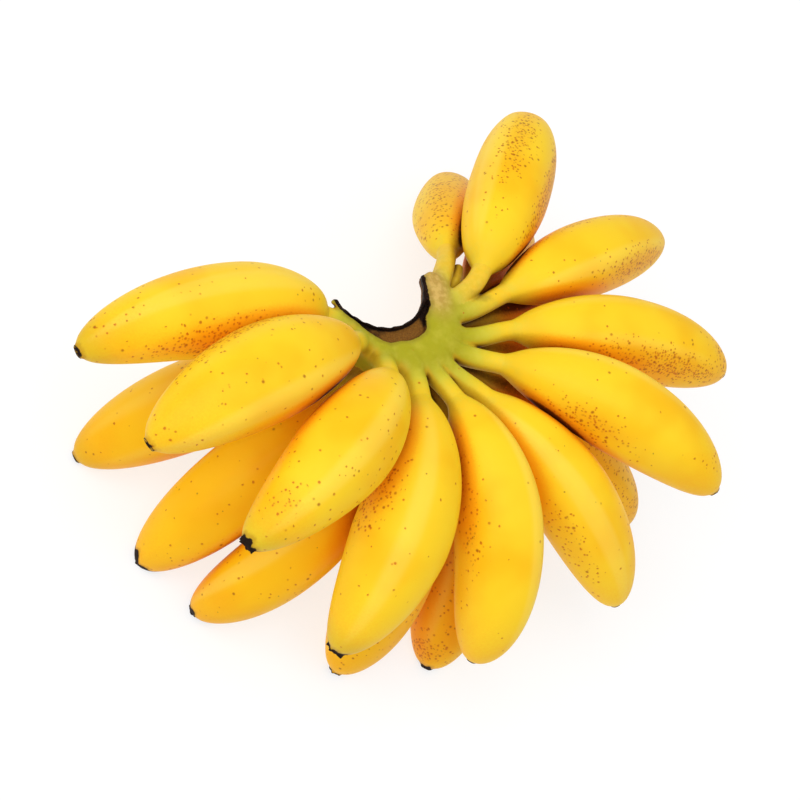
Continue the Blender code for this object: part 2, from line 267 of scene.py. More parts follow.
def linear(hex_colour: str) -> tuple[float, float, float, float]:
    """Return an sRGB hex colour as linear RGBA.

    Args:
        hex_colour: a colour such as "#FFD93A".

    Returns:
        Four linear values, with alpha 1.
    """
    parts = [int(hex_colour[i : i + 2], 16) / 255 for i in (1, 3, 5)]
    red, green, blue = (c / 12.92 if c <= 0.04045 else ((c + 0.055) / 1.055) ** 2.4 for c in parts)
    return (red, green, blue, 1.0)


@dataclass(frozen=True)
class Line:
    """A smooth line as knots: their distances along it, their places, and the way the line runs there."""

    distances: np.ndarray
    places: np.ndarray
    ways: np.ndarray

    def at(self, distances: np.ndarray) -> tuple[np.ndarray, np.ndarray]:
        """Return the line's places and ways at distances; past its ends it runs straight on.

        Args:
            distances: millimetres along the line.

        Returns:
            The places and the unit ways there, one a row.
        """
        inside = np.clip(distances, self.distances[0], self.distances[-1])
        places = np.stack([np.interp(inside, self.distances, self.places[:, k]) for k in range(3)], axis=-1)
        way = np.stack([np.interp(inside, self.distances, self.ways[:, k]) for k in range(3)], axis=-1)
        way /= np.linalg.norm(way, axis=-1, keepdims=True)
        return places + way * (distances - inside)[:, None], way


def turned_line(start: np.ndarray, first: tuple[float, float], last: tuple[float, float],
                length: float, steps: int) -> Line:
    """Return a line whose bearing and slope turn evenly from first to last, by summing its ways.

    Args:
        start: its first place.
        first: its bearing and slope there, in degrees.
        last: its bearing and slope at its other end.
        length: its length in millimetres.
        steps: how many straight steps are summed.

    Returns:
        The line, with distances from 0.
    """
    middles = (np.arange(steps) + 0.5) / steps
    knots = np.arange(steps + 1) / steps
    taken = ways(
        first[0] + (last[0] - first[0]) * middles, first[1] + (last[1] - first[1]) * middles
    ) * (length / steps)
    places = start + np.concatenate([np.zeros((1, 3)), np.cumsum(taken, axis=0)])
    way = ways(first[0] + (last[0] - first[0]) * knots, first[1] + (last[1] - first[1]) * knots)
    return Line(length * knots, places, way)


def bowed_line(start: np.ndarray, set_out: np.ndarray, end: np.ndarray, arrive: np.ndarray,
               steps: int) -> Line:
    """Return a cubic Bezier from start to end, which leaves and arrives along two ways.

    Its handles are NECK_BOW of the distance between the ends.

    Args:
        start: its first place.
        set_out: the unit way it leaves by.
        end: its last place.
        arrive: the unit way it arrives by.
        steps: how many parts it is worked out in.

    Returns:
        The line, with distances from minus its length to 0.
    """
    handle = NECK_BOW * np.linalg.norm(end - start)
    controls = np.stack([start, start + set_out * handle, end - arrive * handle, end])
    t = (np.arange(steps + 1) / steps)[:, None]
    shares = np.hstack([(1 - t) ** 3, 3 * t * (1 - t) ** 2, 3 * t**2 * (1 - t), t**3])
    slopes = np.hstack([-3 * (1 - t) ** 2, 3 * (1 - t) * (1 - 3 * t), 3 * t * (2 - 3 * t), 3 * t**2])
    places, way = shares @ controls, slopes @ controls
    way /= np.linalg.norm(way, axis=1, keepdims=True)
    travelled = np.concatenate([[0.0], np.cumsum(np.linalg.norm(np.diff(places, axis=0), axis=1))])
    return Line(travelled - travelled[-1], places, way)


@dataclass
class MeshBuilder:
    """Writes arrays of points and faces into a named, smooth-shaded object that rides with the frame."""

    name: str
    slot: str
    material: bpy.types.Material

    def skin(self, rows: np.ndarray) -> tuple[np.ndarray, list[list[int]]]:
        """Return points and faces of a skin through closed rows, with a fan at each end.

        Args:
            rows: places, as rows by columns by 3; columns wrap round, clockwise for someone on the line
                who looks along it.

        Returns:
            All points, one a row, and the faces as lists of indices. The fans' middles come last.
        """
        count, around = rows.shape[:2]
        index = np.arange(count * around).reshape(count, around)
        turned = np.roll(index, -1, axis=1)
        quads = np.stack([index[:-1], turned[:-1], turned[1:], index[1:]], axis=-1).reshape(-1, 4)
        first, last = count * around, count * around + 1
        start_fan = np.stack([np.full(around, first), turned[0], index[0]], axis=-1)
        end_fan = np.stack([np.full(around, last), index[-1], turned[-1]], axis=-1)
        middles = [rows[0].mean(axis=0)[None], rows[-1].mean(axis=0)[None]]
        points = np.concatenate([rows.reshape(-1, 3), *middles])
        return points, quads.tolist() + start_fan.tolist() + end_fan.tolist()

    def build(self, points: np.ndarray, faces: list[list[int]], marks: dict[str, np.ndarray],
              node: str) -> bpy.types.Object:
        """Make the piece, dress it and put it in place of its node.

        Args:
            points: places in millimetres, one a row.
            faces: lists of indices into points.
            marks: named values a point, which the material reads.
            node: the CAD node that the piece stands for.

        Returns:
            The finished object.
        """
        mesh = bpy.data.meshes.new(self.name)
        mesh.from_pydata((points * METRES).tolist(), [], faces)
        for word, values in marks.items():
            layer = mesh.attributes.new(word, "FLOAT", "POINT")
            layer.data.foreach_set("value", np.asarray(values, np.float32))
        mesh.shade_smooth()
        mesh.materials.append(self.material)
        mesh.update()
        piece = bpy.data.objects.new(self.name, mesh)
        bpy.context.scene.collection.objects.link(piece)
        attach(piece, "root")
        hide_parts(node)
        log.info("%s: %d points, %d faces", self.name, len(points), len(faces))
        return piece


@dataclass
class Fruit:
    """One banana's surface: its line, its swelling and its section.

    The radius at a distance follows one profile over neck and fruit: an even neck that flares at its root, a
    quick shoulder, which is a power of a quarter sine, and a tip, which is a power of one minus a power of
    the way past the belly. It is softened by a running Gaussian mean, so the neck flows into the fruit.

    A pair named until or from is where a mark fades: millimetres along the line, or shares of the fruit's
    length for green_tip_from and tip_darkening_from.
    """

    row: Row
    number: int
    finger: Finger
    # The grid: columns, rows, and the rows kept for the last millimetres of the tip
    around: int = 96
    rows: int = 118
    tip_rows: int = 17
    tip_reach: float = 4.0
    # The running means' widths, where one takes over from the other, and the profile's table
    shoulder_softness: float = 2.2
    tip_softness: float = 0.7
    softness_change: tuple[float, float] = (8.0, 24.0)
    profile_step: float = 0.2
    profile_spare: float = 12.0
    # The section: how many facets, how sharp and how strong, and the ridges between them, painted paler as a
    # highlight
    facets: int = 5
    facet_sharpness: float = 8.0
    facet_share: float = 0.36
    ridge_twist: float = 0.12
    ridge_lifts: tuple[float, float] = (0.008, 0.035)
    ridge_share: float = 0.22
    # How far the skin reaches under the neck's, the flower's pit, and the fruit's slow lumps
    tuck: float = 3.0
    pit: tuple[float, ...] = (0.9, 0.74, 0.52, 0.3, 0.12)
    pit_depth: float = 1.2
    pit_dryness: float = 0.9
    lump_heights: tuple[float, float] = (0.010, 0.008)
    # Where marks fade, and how strong the tip's darkening and the painted shade in the lower row's gaps are
    young_until: tuple[float, float] = (-1.0, 15.0)
    freckled_from: tuple[float, float] = (-2.0, 12.0)
    tan_from: tuple[float, float] = (0.0, 20.0)
    green_tip_from: tuple[float, float] = (0.84, 0.99)
    # The tip grows darker and more orange towards its end, in the painted shade's colours
    tip_darkening_from: tuple[float, float] = (0.5, 0.95)
    tip_darkening: float = 0.2
    gap_shade: float = 0.5
    gap_until: tuple[float, float] = (40.0, 8.0)
    line: Line = field(init=False)
    neck: float = field(init=False)
    table_at: np.ndarray = field(init=False)
    table_radius: np.ndarray = field(init=False)

    def __post_init__(self) -> None:
        """Lay the line and soften the profile."""
        self.line = self.lay_line()
        self.neck = -self.line.distances[0]
        spare = self.profile_spare
        self.table_at = np.arange(-self.neck - spare, self.finger.length + spare, self.profile_step)
        self.table_radius = self.softened(self.raw_radius(self.table_at))

    @property
    def name(self) -> str:
        """Return the name of the CAD node."""
        return f"finger_{self.row.word}_{self.number:02d}"

    @property
    def phase(self) -> float:
        """Return a number of this banana's own, for its lumps and torn edges."""
        return 2.4 * self.number + (1.3 if self.row is Row.LOWER else 0.0)

    def lay_line(self) -> Line:
        """Lay the neck's bow and then the fruit's even turn, as one line.

        Returns:
            The line, with distance 0 at the shoulder.
        """
        f = self.finger
        radius, height = self.row.value
        root = CROWN_AT + CUSHION_AT + ways(np.array(f.root), np.array(0.0)) * radius + UP * height
        shoulder = CROWN_AT + np.array(f.shoulder)
        set_out, arrive = ways(np.array([f.set_out, f.heading]), np.array([f.rise, f.slope]))
        neck = bowed_line(root, set_out, shoulder, arrive, 24)
        fruit = turned_line(shoulder, (f.heading, f.slope), (f.tip_heading, f.tip_slope), f.length, 56)
        return Line(
            np.concatenate([neck.distances, fruit.distances[1:]]),
            np.concatenate([neck.places, fruit.places[1:]]),
            np.concatenate([neck.ways, fruit.ways[1:]]),
        )

    def raw_radius(self, at: np.ndarray) -> np.ndarray:
        """Return the radius at distances along the line, before it is softened.

        Args:
            at: distances along the line.

        Returns:
            The radii in millimetres.
        """
        f = self.finger
        body = f.length - STUB_LENGTH
        share = np.clip(at / body, 0.0, 1.0)
        slim = max(NECK_GIRTH, SLIMMEST_NECK / f.girth)
        rising = slim + (1 - slim) * np.sin(np.pi / 2 * np.clip(share / f.belly, 0.0, 1.0)) ** f.full
        past = np.clip((share - f.belly) / (1 - f.belly), 0.0, 1.0)
        falling = STUB_GIRTH + (1 - STUB_GIRTH) * (1 - past**f.blunt) ** TIP_ROUNDING
        to_root = np.clip(-at / self.neck, 0.0, 1.0)
        neck = slim * (1 + (ROOT_FLARE - 1) * to_root**2)
        stub = STUB_GIRTH * (1 - (1 - STUB_TAPER) * np.clip((at - body) / STUB_LENGTH, 0.0, 1.0))
        share_of_girth = np.where(at < 0, neck, np.where(share < f.belly, rising, falling))
        return f.girth / 2 * np.where(at > body, stub, share_of_girth)

    def softened(self, radius: np.ndarray) -> np.ndarray:
        """Return the profile under a wide running mean at the shoulder, and a narrow one past it.

        Args:
            radius: the radius at each distance of the table.

        Returns:
            The softened radii, as many.
        """
        step = self.table_at[1] - self.table_at[0]
        means = []
        for width in (self.shoulder_softness, self.tip_softness):
            offsets = np.arange(-4 * width, 4 * width + step / 2, step)
            weights = np.exp(-0.5 * (offsets / width) ** 2)
            padded = np.pad(radius, len(offsets) // 2, mode="edge")
            means.append(np.convolve(padded, weights / weights.sum(), mode="valid")[: len(radius)])
        past_shoulder = smooth_step(*self.softness_change, self.table_at)
        return means[0] * (1 - past_shoulder) + means[1] * past_shoulder

    def radius(self, at: np.ndarray) -> np.ndarray:
        """Return the softened radius at distances along the line."""
        return np.interp(at, self.table_at, self.table_radius)

    def stations(self) -> np.ndarray:
        """Choose the grid's rows: even steps of the profile's arc length, and close ones at the tip.

        The arc length counts the radius 1.4 times, so the rows lie closer where the fruit swells.

        Returns:
            The rows' distances along the line.
        """
        fine = np.linspace(-self.tuck, self.finger.length, 1400)
        steps = np.hypot(np.diff(fine), 1.4 * np.diff(self.radius(fine)))
        travelled = np.concatenate([[0.0], np.cumsum(steps)])
        even = np.interp(np.linspace(0, travelled[-1], self.rows), travelled, fine)
        last = self.finger.length - np.linspace(self.tip_reach, 0.0, self.tip_rows)
        return np.concatenate([even[even < last[0] - 0.3], last])

    def section(self, angle: np.ndarray, share: np.ndarray) -> np.ndarray:
        """Return the section's lift, as a share of the radius: a rounded polygon's, less its mean.

        The polygon's radius at an angle is the power mean of its facets' cosines, each over the facet's own
        distance. Its lift fades to nothing at the shoulder and the tip, and its edges turn a little.

        Args:
            angle: degrees round the banana, one a column.
            share: the place along the fruit, one a row.

        Returns:
            The lift, rows by columns.
        """
        turn = np.radians(angle - self.finger.facet)[None, :] + self.ridge_twist * (share - 0.5)[:, None]
        total = np.zeros(turn.shape)
        for k in range(self.facets):
            normal = math.tau * (k + 0.5) / self.facets + 0.16 * math.sin(2.1 * k + self.phase)
            far = 1.0 + 0.03 * math.sin(1.7 * k + 2 * self.phase)
            total += (np.maximum(np.cos(turn - normal), 0.0) / far) ** self.facet_sharpness
        polygon = total ** (-1 / self.facet_sharpness)
        fade = np.sin(np.pi * np.clip(share, 0.0, 1.0)) ** 0.5
        return self.facet_share * (polygon / polygon.mean(axis=1, keepdims=True) - 1) * fade[:, None]

    def collar(self, at: np.ndarray, angle: np.ndarray) -> np.ndarray:
        """Return how far the dried flower flares at the tip, in millimetres.

        Five lobes of uneven height, which are a raised cosine's power, with a fine wave on them, rise in the
        last 2 mm of the line.

        Args:
            at: distances along the line, one a row.
            angle: degrees round it, one a column.

        Returns:
            The flare, rows by columns.
        """
        flare, sharpness = self.finger.end.value
        turn = np.radians(angle)
        lobes = 0.5 + 0.5 * np.cos(5 * turn + self.phase + 0.9 * np.sin(2 * turn + self.phase))
        ragged = 0.12 + 0.88 * lobes**sharpness * (0.75 + 0.25 * np.sin(2 * turn + 3 * self.phase))
        ragged += 0.1 * np.sin(11 * turn + 2 * self.phase)
        rise = smooth_step(self.finger.length - 2.2, self.finger.length - 0.1, at) ** 1.5
        return flare * rise[:, None] * ragged

    def surface(self) -> tuple[np.ndarray, np.ndarray, np.ndarray]:
        """Work out the banana's grid, from under the crown's skin to the pit of the dried flower.

        Each row is the softened radius, times one plus the section's lift and slow lumps, plus the dried
        flower's flare. The rows of the flower's pit close the tip, and their distances lie past the length.

        Returns:
            The places, rows by columns by 3, the rows' distances and the columns' angles.
        """
        at = self.stations()
        angle = np.arange(self.around) * 360.0 / self.around
        share = at / self.finger.length
        turn = np.radians(angle)[None, :]
        radius = self.radius(at) - SEAM_DIP * np.clip(-at, 0.0, None) ** 2
        bends, ovals = self.lump_heights
        lumps = bends * np.sin(at / 15 + self.phase)[:, None] * np.cos(turn + self.phase)
        lumps += ovals * np.cos(2 * turn + (at / 23)[:, None] - self.phase)
        lumps *= np.sin(np.pi * np.clip(share, 0.0, 1.0))[:, None] ** 0.6
        flare = self.collar(at, angle)
        reach = radius[:, None] * (1 + self.section(angle, share) + lumps) + flare
        pit = np.array(self.pit)
        reach = np.concatenate([reach, reach[-1] * pit[:, None]])
        places, way = self.line.at(np.concatenate([at, self.finger.length - self.pit_depth * (1 - pit**2)]))
        side = np.cross(way, UP)
        side /= np.linalg.norm(side, axis=-1, keepdims=True)
        up = np.cross(side, way)
        out = side[:, None] * np.sin(turn)[..., None] + up[:, None] * np.cos(turn)[..., None]
        grid = places[:, None] + out * reach[:, :, None]
        forward = np.zeros(reach.shape)
        forward[: len(flare)] = 0.45 * flare
        forward[len(flare)] = 0.3 * flare[-1]
        told = np.concatenate([at, self.finger.length + self.pit_dryness * (0.8 - pit)])
        return grid + way[:, None] * forward[..., None], told, angle

    def marks(self, at: np.ndarray, angle: np.ndarray, ridge_highlight: np.ndarray,
              painted_shade: np.ndarray) -> dict[str, np.ndarray]:
        """Return what the peel's material reads at each point.

        Args:
            at: the distance along the line, one a point.
            angle: degrees round it, one a point.
            ridge_highlight: how near the point is to an edge between two facets, from 0 to 1, one a point;
            painted paler there as a highlight.
            painted_shade: how closely its neighbours press round it, from 0 to 1, one a point, painted as
                shade.

        Returns:
            Values by name.
        """
        f = self.finger
        share = at / f.length
        freckle = np.full(len(at), f.sparse)
        for patch in f.patches:
            spot = bell(share - patch.along, patch.reach)
            spot *= bell(angle_between(angle, patch.around), patch.width)
            freckle = np.maximum(freckle, patch.density * spot)
        turn = np.radians(angle)
        torn = 0.3 * np.sin(3 * turn + self.phase) + 0.2 * np.sin(7 * turn + 2 * self.phase)
        green_tip = f.green_tip * smooth_step(*self.green_tip_from, share)
        return {
            "young": np.maximum(1 - smooth_step(*self.young_until, at), green_tip),
            "green": np.where(share < 0.5, 0.25, 0.8),
            # Painted shade from the neighbours, with the tip darkened in the same colours
            "painted_shade": painted_shade + self.tip_darkening * smooth_step(*self.tip_darkening_from, share),
            "freckle": np.clip(freckle * smooth_step(*self.freckled_from, at), 0.0, 1.0),
            "dried": f.dried * (1 + torn) - (f.length - at),
            "beige": np.full(len(at), f.tan) * smooth_step(*self.tan_from, at),
            "ridge_highlight": ridge_highlight,
        }

    def build(self, material: bpy.types.Material, cluster: "Cluster") -> bpy.types.Object:
        """Build the banana's piece in place of its node.

        Args:
            material: its row's peel.
            cluster: all bananas, for the painted shade where they lie close to this one.

        Returns:
            The finished object.
        """
        grid, at, angle = self.surface()
        builder = MeshBuilder(self.name + "_peel", "peel_" + self.row.word, material)
        points, faces = builder.skin(grid)
        rows, columns = grid.shape[:2]
        middles = self.line.at(at)[0]
        out = points - np.concatenate([np.repeat(middles, columns, axis=0), middles[[0, -1]]])
        out /= np.maximum(np.linalg.norm(out, axis=1, keepdims=True), 1e-6)
        at_all = np.concatenate([np.repeat(at, columns), at[[0, -1]]])
        angle_all = np.concatenate([np.tile(angle, rows), [0.0, 0.0]])
        # A paler colour painted along the section's ridges, where its lift is highest, as a highlight
        lift = self.section(angle, at / self.finger.length).ravel()
        ridge_highlight = np.concatenate([self.ridge_share * smooth_step(*self.ridge_lifts, lift), [0.0, 0.0]])
        # Painted shade from the neighbours; on the lower row, more on faces that look up, near the crown,
        # under the upper row
        painted_shade = cluster.crowding(points, out, self.name)
        if self.row is Row.LOWER:
            painted_shade += self.gap_shade * smooth_step(*self.gap_until, at_all) * smooth_step(*FACES_UP, out[:, 2])
        marks = self.marks(at_all, angle_all, ridge_highlight, painted_shade)
        points[:, 2] = np.maximum(points[:, 2], 0.0)
        return builder.build(points, faces, marks, self.name)


@dataclass
class Cluster:
    """Every banana, with its neck, as a row of balls along its line, for their crowding of each other.

    Their crowding of a surface is painted on it as shade.
    """

    fruits: list[Fruit]
    pitch: float = 3.5
    probes: tuple[float, ...] = (1.0, 2.5, 5.0, 9.0, 15.0)
    nearness: float = -0.4
    centres: np.ndarray = field(init=False)
    radii: np.ndarray = field(init=False)
    owners: np.ndarray = field(init=False)

    def __post_init__(self) -> None:
        """Lay the balls."""
        centres, radii, owners = [], [], []
        for fruit in self.fruits:
            at = np.arange(1.0 - fruit.neck, fruit.finger.length, self.pitch)
            centres.append(fruit.line.at(at)[0])
            radii.append(fruit.radius(at))
            owners += [fruit.name] * len(at)
        self.centres = np.concatenate(centres).astype(np.float32)
        self.radii = np.concatenate(radii).astype(np.float32)
        self.owners = np.array(owners)

    def clearance(self, points: np.ndarray, owner: str) -> np.ndarray:
        """Return how far points are from the nearest banana that isn't their owner.

        Args:
            points: places, one a row.
            owner: the name of the banana that is left out.

        Returns:
            The distances in millimetres, negative inside.
        """
        other = self.owners != owner
        centres, radii = self.centres[other], self.radii[other]
        points = points.astype(np.float32)
        square = (points**2).sum(1)[:, None] + (centres**2).sum(1) - 2 * points @ centres.T
        return (np.sqrt(np.maximum(square, 0.0)) - radii).min(axis=1)

    def crowding(self, points: np.ndarray, out: np.ndarray, owner: str, spare: float = 0.0,
                 other: Distance | None = None) -> np.ndarray:
        """Return from 0 to 1 how much of the space before each point its neighbours take.

        At each of a few distances out from the surface, the share of that distance that isn't clear is
        taken, and nearer shares weigh more. The result is painted on the skin as shade.

        Args:
            points: places on a surface, one a row.
            out: the surface's normals there.
            owner: the banana that the surface belongs to, or another name for none.
            spare: how much further off every banana counts, in millimetres.
            other: the distance from places to something else that may be in the way.

        Returns:
            One share a point.
        """
        total, weights = np.zeros(len(points)), 0.0
        for probe in self.probes:
            ahead = points + out * probe
            clear = self.clearance(ahead, owner) + spare
            if other:
                clear = np.minimum(other(ahead), clear)
            weight = probe**self.nearness
            total += weight * np.clip((probe - clear) / probe, 0.0, 1.0)
            weights += weight
        return total / weights


@dataclass
class Crown:
    """The green cushion that all bananas grow from, with their necks and the dried cut of the stalk.

    It is the surface where a smooth distance is 0: a rounded disc, cut back past both arms, joined by
    fillets with every neck, as a tube round its line; less a flat recess and a leaning round column, where
    the stalk was; and joined with the torn lip that stands round that column. A vertex in each grid cell
    that the surface crosses is drawn on to it along the distance's slope.

    tubes holds each neck's places and radii, in the order of fruits, and the spur's, which is a neck that
    bore no fruit. progress holds how far along its neck each place is, and ripe_necks how yellow a tube is,
    by its number. Bearings round the stalk's column are degrees.
    """

    fruits: list[Fruit]
    # The cushion, and its fillets with the necks and between them
    radius: float = 26.2
    top: float = 5.2
    base: float = -15.5
    rounding: float = 5.5
    end_rounding: float = 3.0
    neck_blend: float = 1.2
    web_blend: float = 3.2
    # Where the cushion is cut back, past the beige arm and past the horn
    arm_end: tuple[float, float] = (-1.6, 0.7)
    arm_bearing: float = 48.0
    horn_end: tuple[float, float] = (-3.0, -6.0)
    # The column where the stalk was, and how far it leans for each millimetre up
    stalk_radius: float = 20.0
    stalk_at: tuple[float, float, float] = (-14.3, 3.7, 5.0)
    stalk_slant: float = -0.42
    # The scar's edge, how much narrower it is between which bearings, and its floor's height
    scar_radius: float = 19.4
    scar_at: tuple[float, float] = (-10.5, -2.0)
    scar_narrowing: float = 2.1
    narrows: tuple[tuple[float, float], tuple[float, float]] = ((-52.0, -20.0), (150.0, 110.0))
    scar_floor: float = 2.2
    # The torn lip: heights, thicknesses, its two ends, the horn and the roundings of its edges
    lip_top: float = 5.0
    lip_foot: float = -9.0
    foot_rise: float = 8.0
    lip_thickness: float = 0.8
    arm_thickness: float = 2.2
    lip_from: float = -153.0
    lip_to: float = 16.0
    arm_thickens: tuple[float, float] = (-30.0, 5.0)
    horn: float = 2.2
    horn_at: tuple[float, float] = (-151.0, 7.0)
    horn_lowers: tuple[float, float] = (-118.0, -142.0)
    horn_step: float = 0.5
    horn_step_at: tuple[float, float] = (-146.0, 16.0)
    foot_rises: tuple[float, float] = (-108.0, -148.0)
    corner_at: tuple[float, float] = (2.0, 16.0)
    corner_rounding: float = 1.8
    edge_rounding: float = 0.8
    # The net's cells, and how many of them make one coarse cell, to a side
    pitch: float = 0.6
    coarse: int = 4
    # The neck that bore no fruit, and the withered bract
    spur: tuple[tuple[float, float, float], ...] = (
        (15.0, 3.5, -6.0), (25.0, 14.0, -6.5), (29.4, 22.6, -10.0)
    )
    spur_radii: tuple[float, ...] = (3.4, 3.0, 2.3)
    bract_at: tuple[float, float, float] = (29.9, 3.4, 0.0)
    bract_size: tuple[float, float, float] = (2.6, 1.1, 4.0)
    # Where the arm is beige and the cut's pith shows, and how far out the web begins
    tan_bearings: tuple[float, float] = (-36.0, -6.0)
    tan_reach: tuple[float, float] = (16.0, 6.0)
    pith_bearings: tuple[tuple[float, float], tuple[float, float]] = ((-128.0, -66.0), (-34.0, -48.0))
    pale_horn_at: tuple[float, float] = (-149.0, 7.0)
    hollow_depth: tuple[float, float] = (1.5, -3.0)
    web_from: float = 2.0
    web_spare: float = 2.0
    # How far the necks reach under the web and into their fruits, and which of them are ripe
    neck_reach: float = 8.0
    neck_tuck: float = 3.0
    ripe_necks: dict[int, float] = field(default_factory=lambda: {8: 0.4, 9: 1.0, 10: 1.0, 20: 1.0})
    tubes: list[tuple[np.ndarray, np.ndarray]] = field(init=False)
    progress: list[np.ndarray] = field(init=False)

    def __post_init__(self) -> None:
        """Lay each neck as places and radii, from under the web to inside its fruit, then the spur."""
        self.tubes, self.progress = [], []
        for fruit in self.fruits:
            at = np.concatenate([
                [-fruit.neck - self.neck_reach, -fruit.neck - self.neck_reach / 2],
                np.linspace(-fruit.neck, -self.neck_tuck - 1.0, 8),
                np.linspace(-self.neck_tuck, self.neck_tuck, 9),
            ])
            # Balls swept along a flaring tube reach past its profile, by half its slope's square
            radius = fruit.radius(at)
            radius *= 1 - 0.5 * np.gradient(radius, at) ** 2
            radius -= SEAM_DIP * np.clip(at, 0.0, None) ** 2
            radius[:2] *= (0.5, 0.82)
            self.tubes.append((fruit.line.at(at)[0] - CROWN_AT, radius))
            self.progress.append(np.clip(1 + at / fruit.neck, 0.0, 1.0))
        self.tubes.append((np.array(self.spur), np.array(self.spur_radii)))
        self.progress.append(np.linspace(0.0, 0.7, len(self.spur)))

    @staticmethod
    def along_tube(points: np.ndarray, places: np.ndarray,
                   radii: np.ndarray) -> tuple[np.ndarray, np.ndarray]:
        """Return the distance to a tube's skin, and how far along its knots the nearest place is.

        Args:
            points: places in the crown's frame, one a row.
            places: the tube's knots.
            radii: its radius at each knot.

        Returns:
            The distances, negative inside, and the knot numbers with their fractions.
        """
        best = np.full(len(points), np.inf)
        where = np.zeros(len(points))
        for k in range(len(places) - 1):
            run = places[k + 1] - places[k]
            t = np.clip((points - places[k]) @ run / (run @ run), 0.0, 1.0)
            gap = np.linalg.norm(points - places[k] - t[:, None] * run, axis=1)
            gap -= radii[k] + (radii[k + 1] - radii[k]) * t
            closer = gap < best
            best = np.where(closer, gap, best)
            where = np.where(closer, k + t, where)
        return best, where

    def stalk_distance(self, points: np.ndarray) -> tuple[np.ndarray, np.ndarray]:
        """Measure points from the leaning column where the stalk was, which swells a little at the horn.

        Args:
            points: places in the crown's frame, one a row.

        Returns:
            How far they are outside the column, and their bearings round it in degrees.
        """
        x, y, z = points.T
        lean = self.stalk_slant * (z - self.stalk_at[2])
        x, y = x - self.stalk_at[0] - lean, y - self.stalk_at[1] - lean
        bearing = np.degrees(np.arctan2(y, x))
        middle, width = self.horn_step_at
        radius = self.stalk_radius + self.horn_step * bell(angle_between(bearing, middle), width)
        return np.hypot(x, y) - radius, bearing

    def cushion_distance(self, points: np.ndarray) -> np.ndarray:
        """Return the distance to a rounded disc with soft lumps, cut back beyond the arm and the horn.

        Args:
            points: places in the crown's frame, one a row.

        Returns:
            The distances, negative inside.
        """
        x, y, z = points.T
        out = np.hypot(x - CUSHION_AT[0], y - CUSHION_AT[1]) - (self.radius - self.rounding)
        half = (self.top - self.base) / 2 - self.rounding
        above = np.abs(z - (self.top + self.base) / 2) - half
        outside = np.hypot(np.maximum(out, 0.0), np.maximum(above, 0.0))
        disc = outside + np.minimum(np.maximum(out, above), 0.0) - self.rounding
        disc -= 0.3 * waves(points, 9.0, 1.7)
        ahead, left = ways(np.array([self.arm_bearing, self.arm_bearing + 90.0]), np.zeros(2))[:, :2]
        from_arm = np.stack([x - self.arm_end[0], y - self.arm_end[1]], axis=-1)
        arm_cut = np.minimum(from_arm @ ahead, from_arm @ left)
        horn_cut = np.minimum(y - self.horn_end[1], self.horn_end[0] - x)
        return smooth_max(smooth_max(disc, arm_cut, self.end_rounding), horn_cut, self.end_rounding)

    def necks_distance(self, points: np.ndarray) -> np.ndarray:
        """Return the distance to all necks, joined by small fillets; far away it is only large.

        Args:
            points: places in the crown's frame, one a row.

        Returns:
            The distances, negative inside.
        """
        necks = np.full(len(points), 50.0)
        reach = self.neck_blend + self.web_blend + 4.0
        for places, radii in self.tubes:
            low = places.min(axis=0) - radii.max() - reach
            high = places.max(axis=0) + radii.max() + reach
            near = np.all((points > low) & (points < high), axis=1)
            tube, _ = self.along_tube(points[near], places, radii)
            necks[near] = smooth_min(necks[near], tube, self.neck_blend)
        return necks

    def lip_distance(self, points: np.ndarray) -> np.ndarray:
        """Return the distance to the torn lip: a wall on the column, between two bearings, ragged on top.

        It thickens towards the arm and into a horn at its other end, where it is also lower. Its torn top is
        a sum of products of sines of the way round the column.

        Args:
            points: places in the crown's frame, one a row.

        Returns:
            The distances, negative inside.
        """
        off, bearing = self.stalk_distance(points)
        along = np.radians(bearing) * self.stalk_radius
        start, stop = np.radians([self.lip_from, self.lip_to]) * self.stalk_radius
        past_end = np.maximum(start - along, along - stop)
        thick = self.lip_thickness + self.arm_thickness * smooth_step(*self.arm_thickens, bearing)
        torn = 0.55 * np.sin(along / 1.7) * np.sin(along / 3.1 + 1) + 0.4 * np.sin(along / 0.83 + 2)
        torn += 0.3 * np.sin(along / 0.47) * np.sin(along / 2.3)
        middle, width = self.horn_at
        thick += self.horn * bell(angle_between(bearing, middle), width)
        top = self.lip_top + torn - self.horn * smooth_step(*self.horn_lowers, bearing)
        wall = np.abs(off - thick / 2 + 0.5) - thick / 2 - 0.15 * np.sin(along / 0.9 + points[:, 2])
        foot = self.lip_foot + self.foot_rise * smooth_step(*self.foot_rises, bearing)
        ends = smooth_max(points[:, 2] - top, foot - points[:, 2], 0.5)
        return smooth_max(smooth_max(wall, ends, 0.7), past_end, 1.5)

    def distance(self, points: np.ndarray) -> np.ndarray:
        """Return the crown's smooth distance: cushion and necks, less the recess and the column, and the lip.

        Args:
            points: places in the crown's frame, one a row.

        Returns:
            The distances, negative inside.
        """
        body = smooth_min(self.necks_distance(points), self.cushion_distance(points), self.web_blend)
        scar = self.scar_distance(points)
        grain = 0.16 * waves(points, 1.6, 0.3)
        body = smooth_max(body, -np.maximum(scar, self.scar_floor + grain - points[:, 2]), 0.9)
        off, bearing = self.stalk_distance(points)
        rounding = self.edge_rounding + self.corner_rounding * smooth_step(*self.corner_at, bearing)
        body = smooth_max(body, -off - grain, rounding)
        return smooth_min(body, self.lip_distance(points), self.edge_rounding)

    def scar_distance(self, points: np.ndarray) -> np.ndarray:
        """Return how far points are outside the scar's outer edge, an uneven circle seen from above.

        Its radius has two slow waves round it, and is less towards the arm.

        Args:
            points: places in the crown's frame, one a row.

        Returns:
            The distances in millimetres, negative inside the edge.
        """
        x, y = points[:, 0] - self.scar_at[0], points[:, 1] - self.scar_at[1]
        bearing = np.arctan2(y, x)
        uneven = 0.35 * np.sin(7 * bearing + 1) + 0.25 * np.sin(13 * bearing + 4)
        turn = np.degrees(bearing)
        first, last = self.narrows
        narrow = self.scar_narrowing * smooth_step(*first, turn) * smooth_step(*last, turn)
        return np.hypot(x, y) - self.scar_radius + narrow - uneven

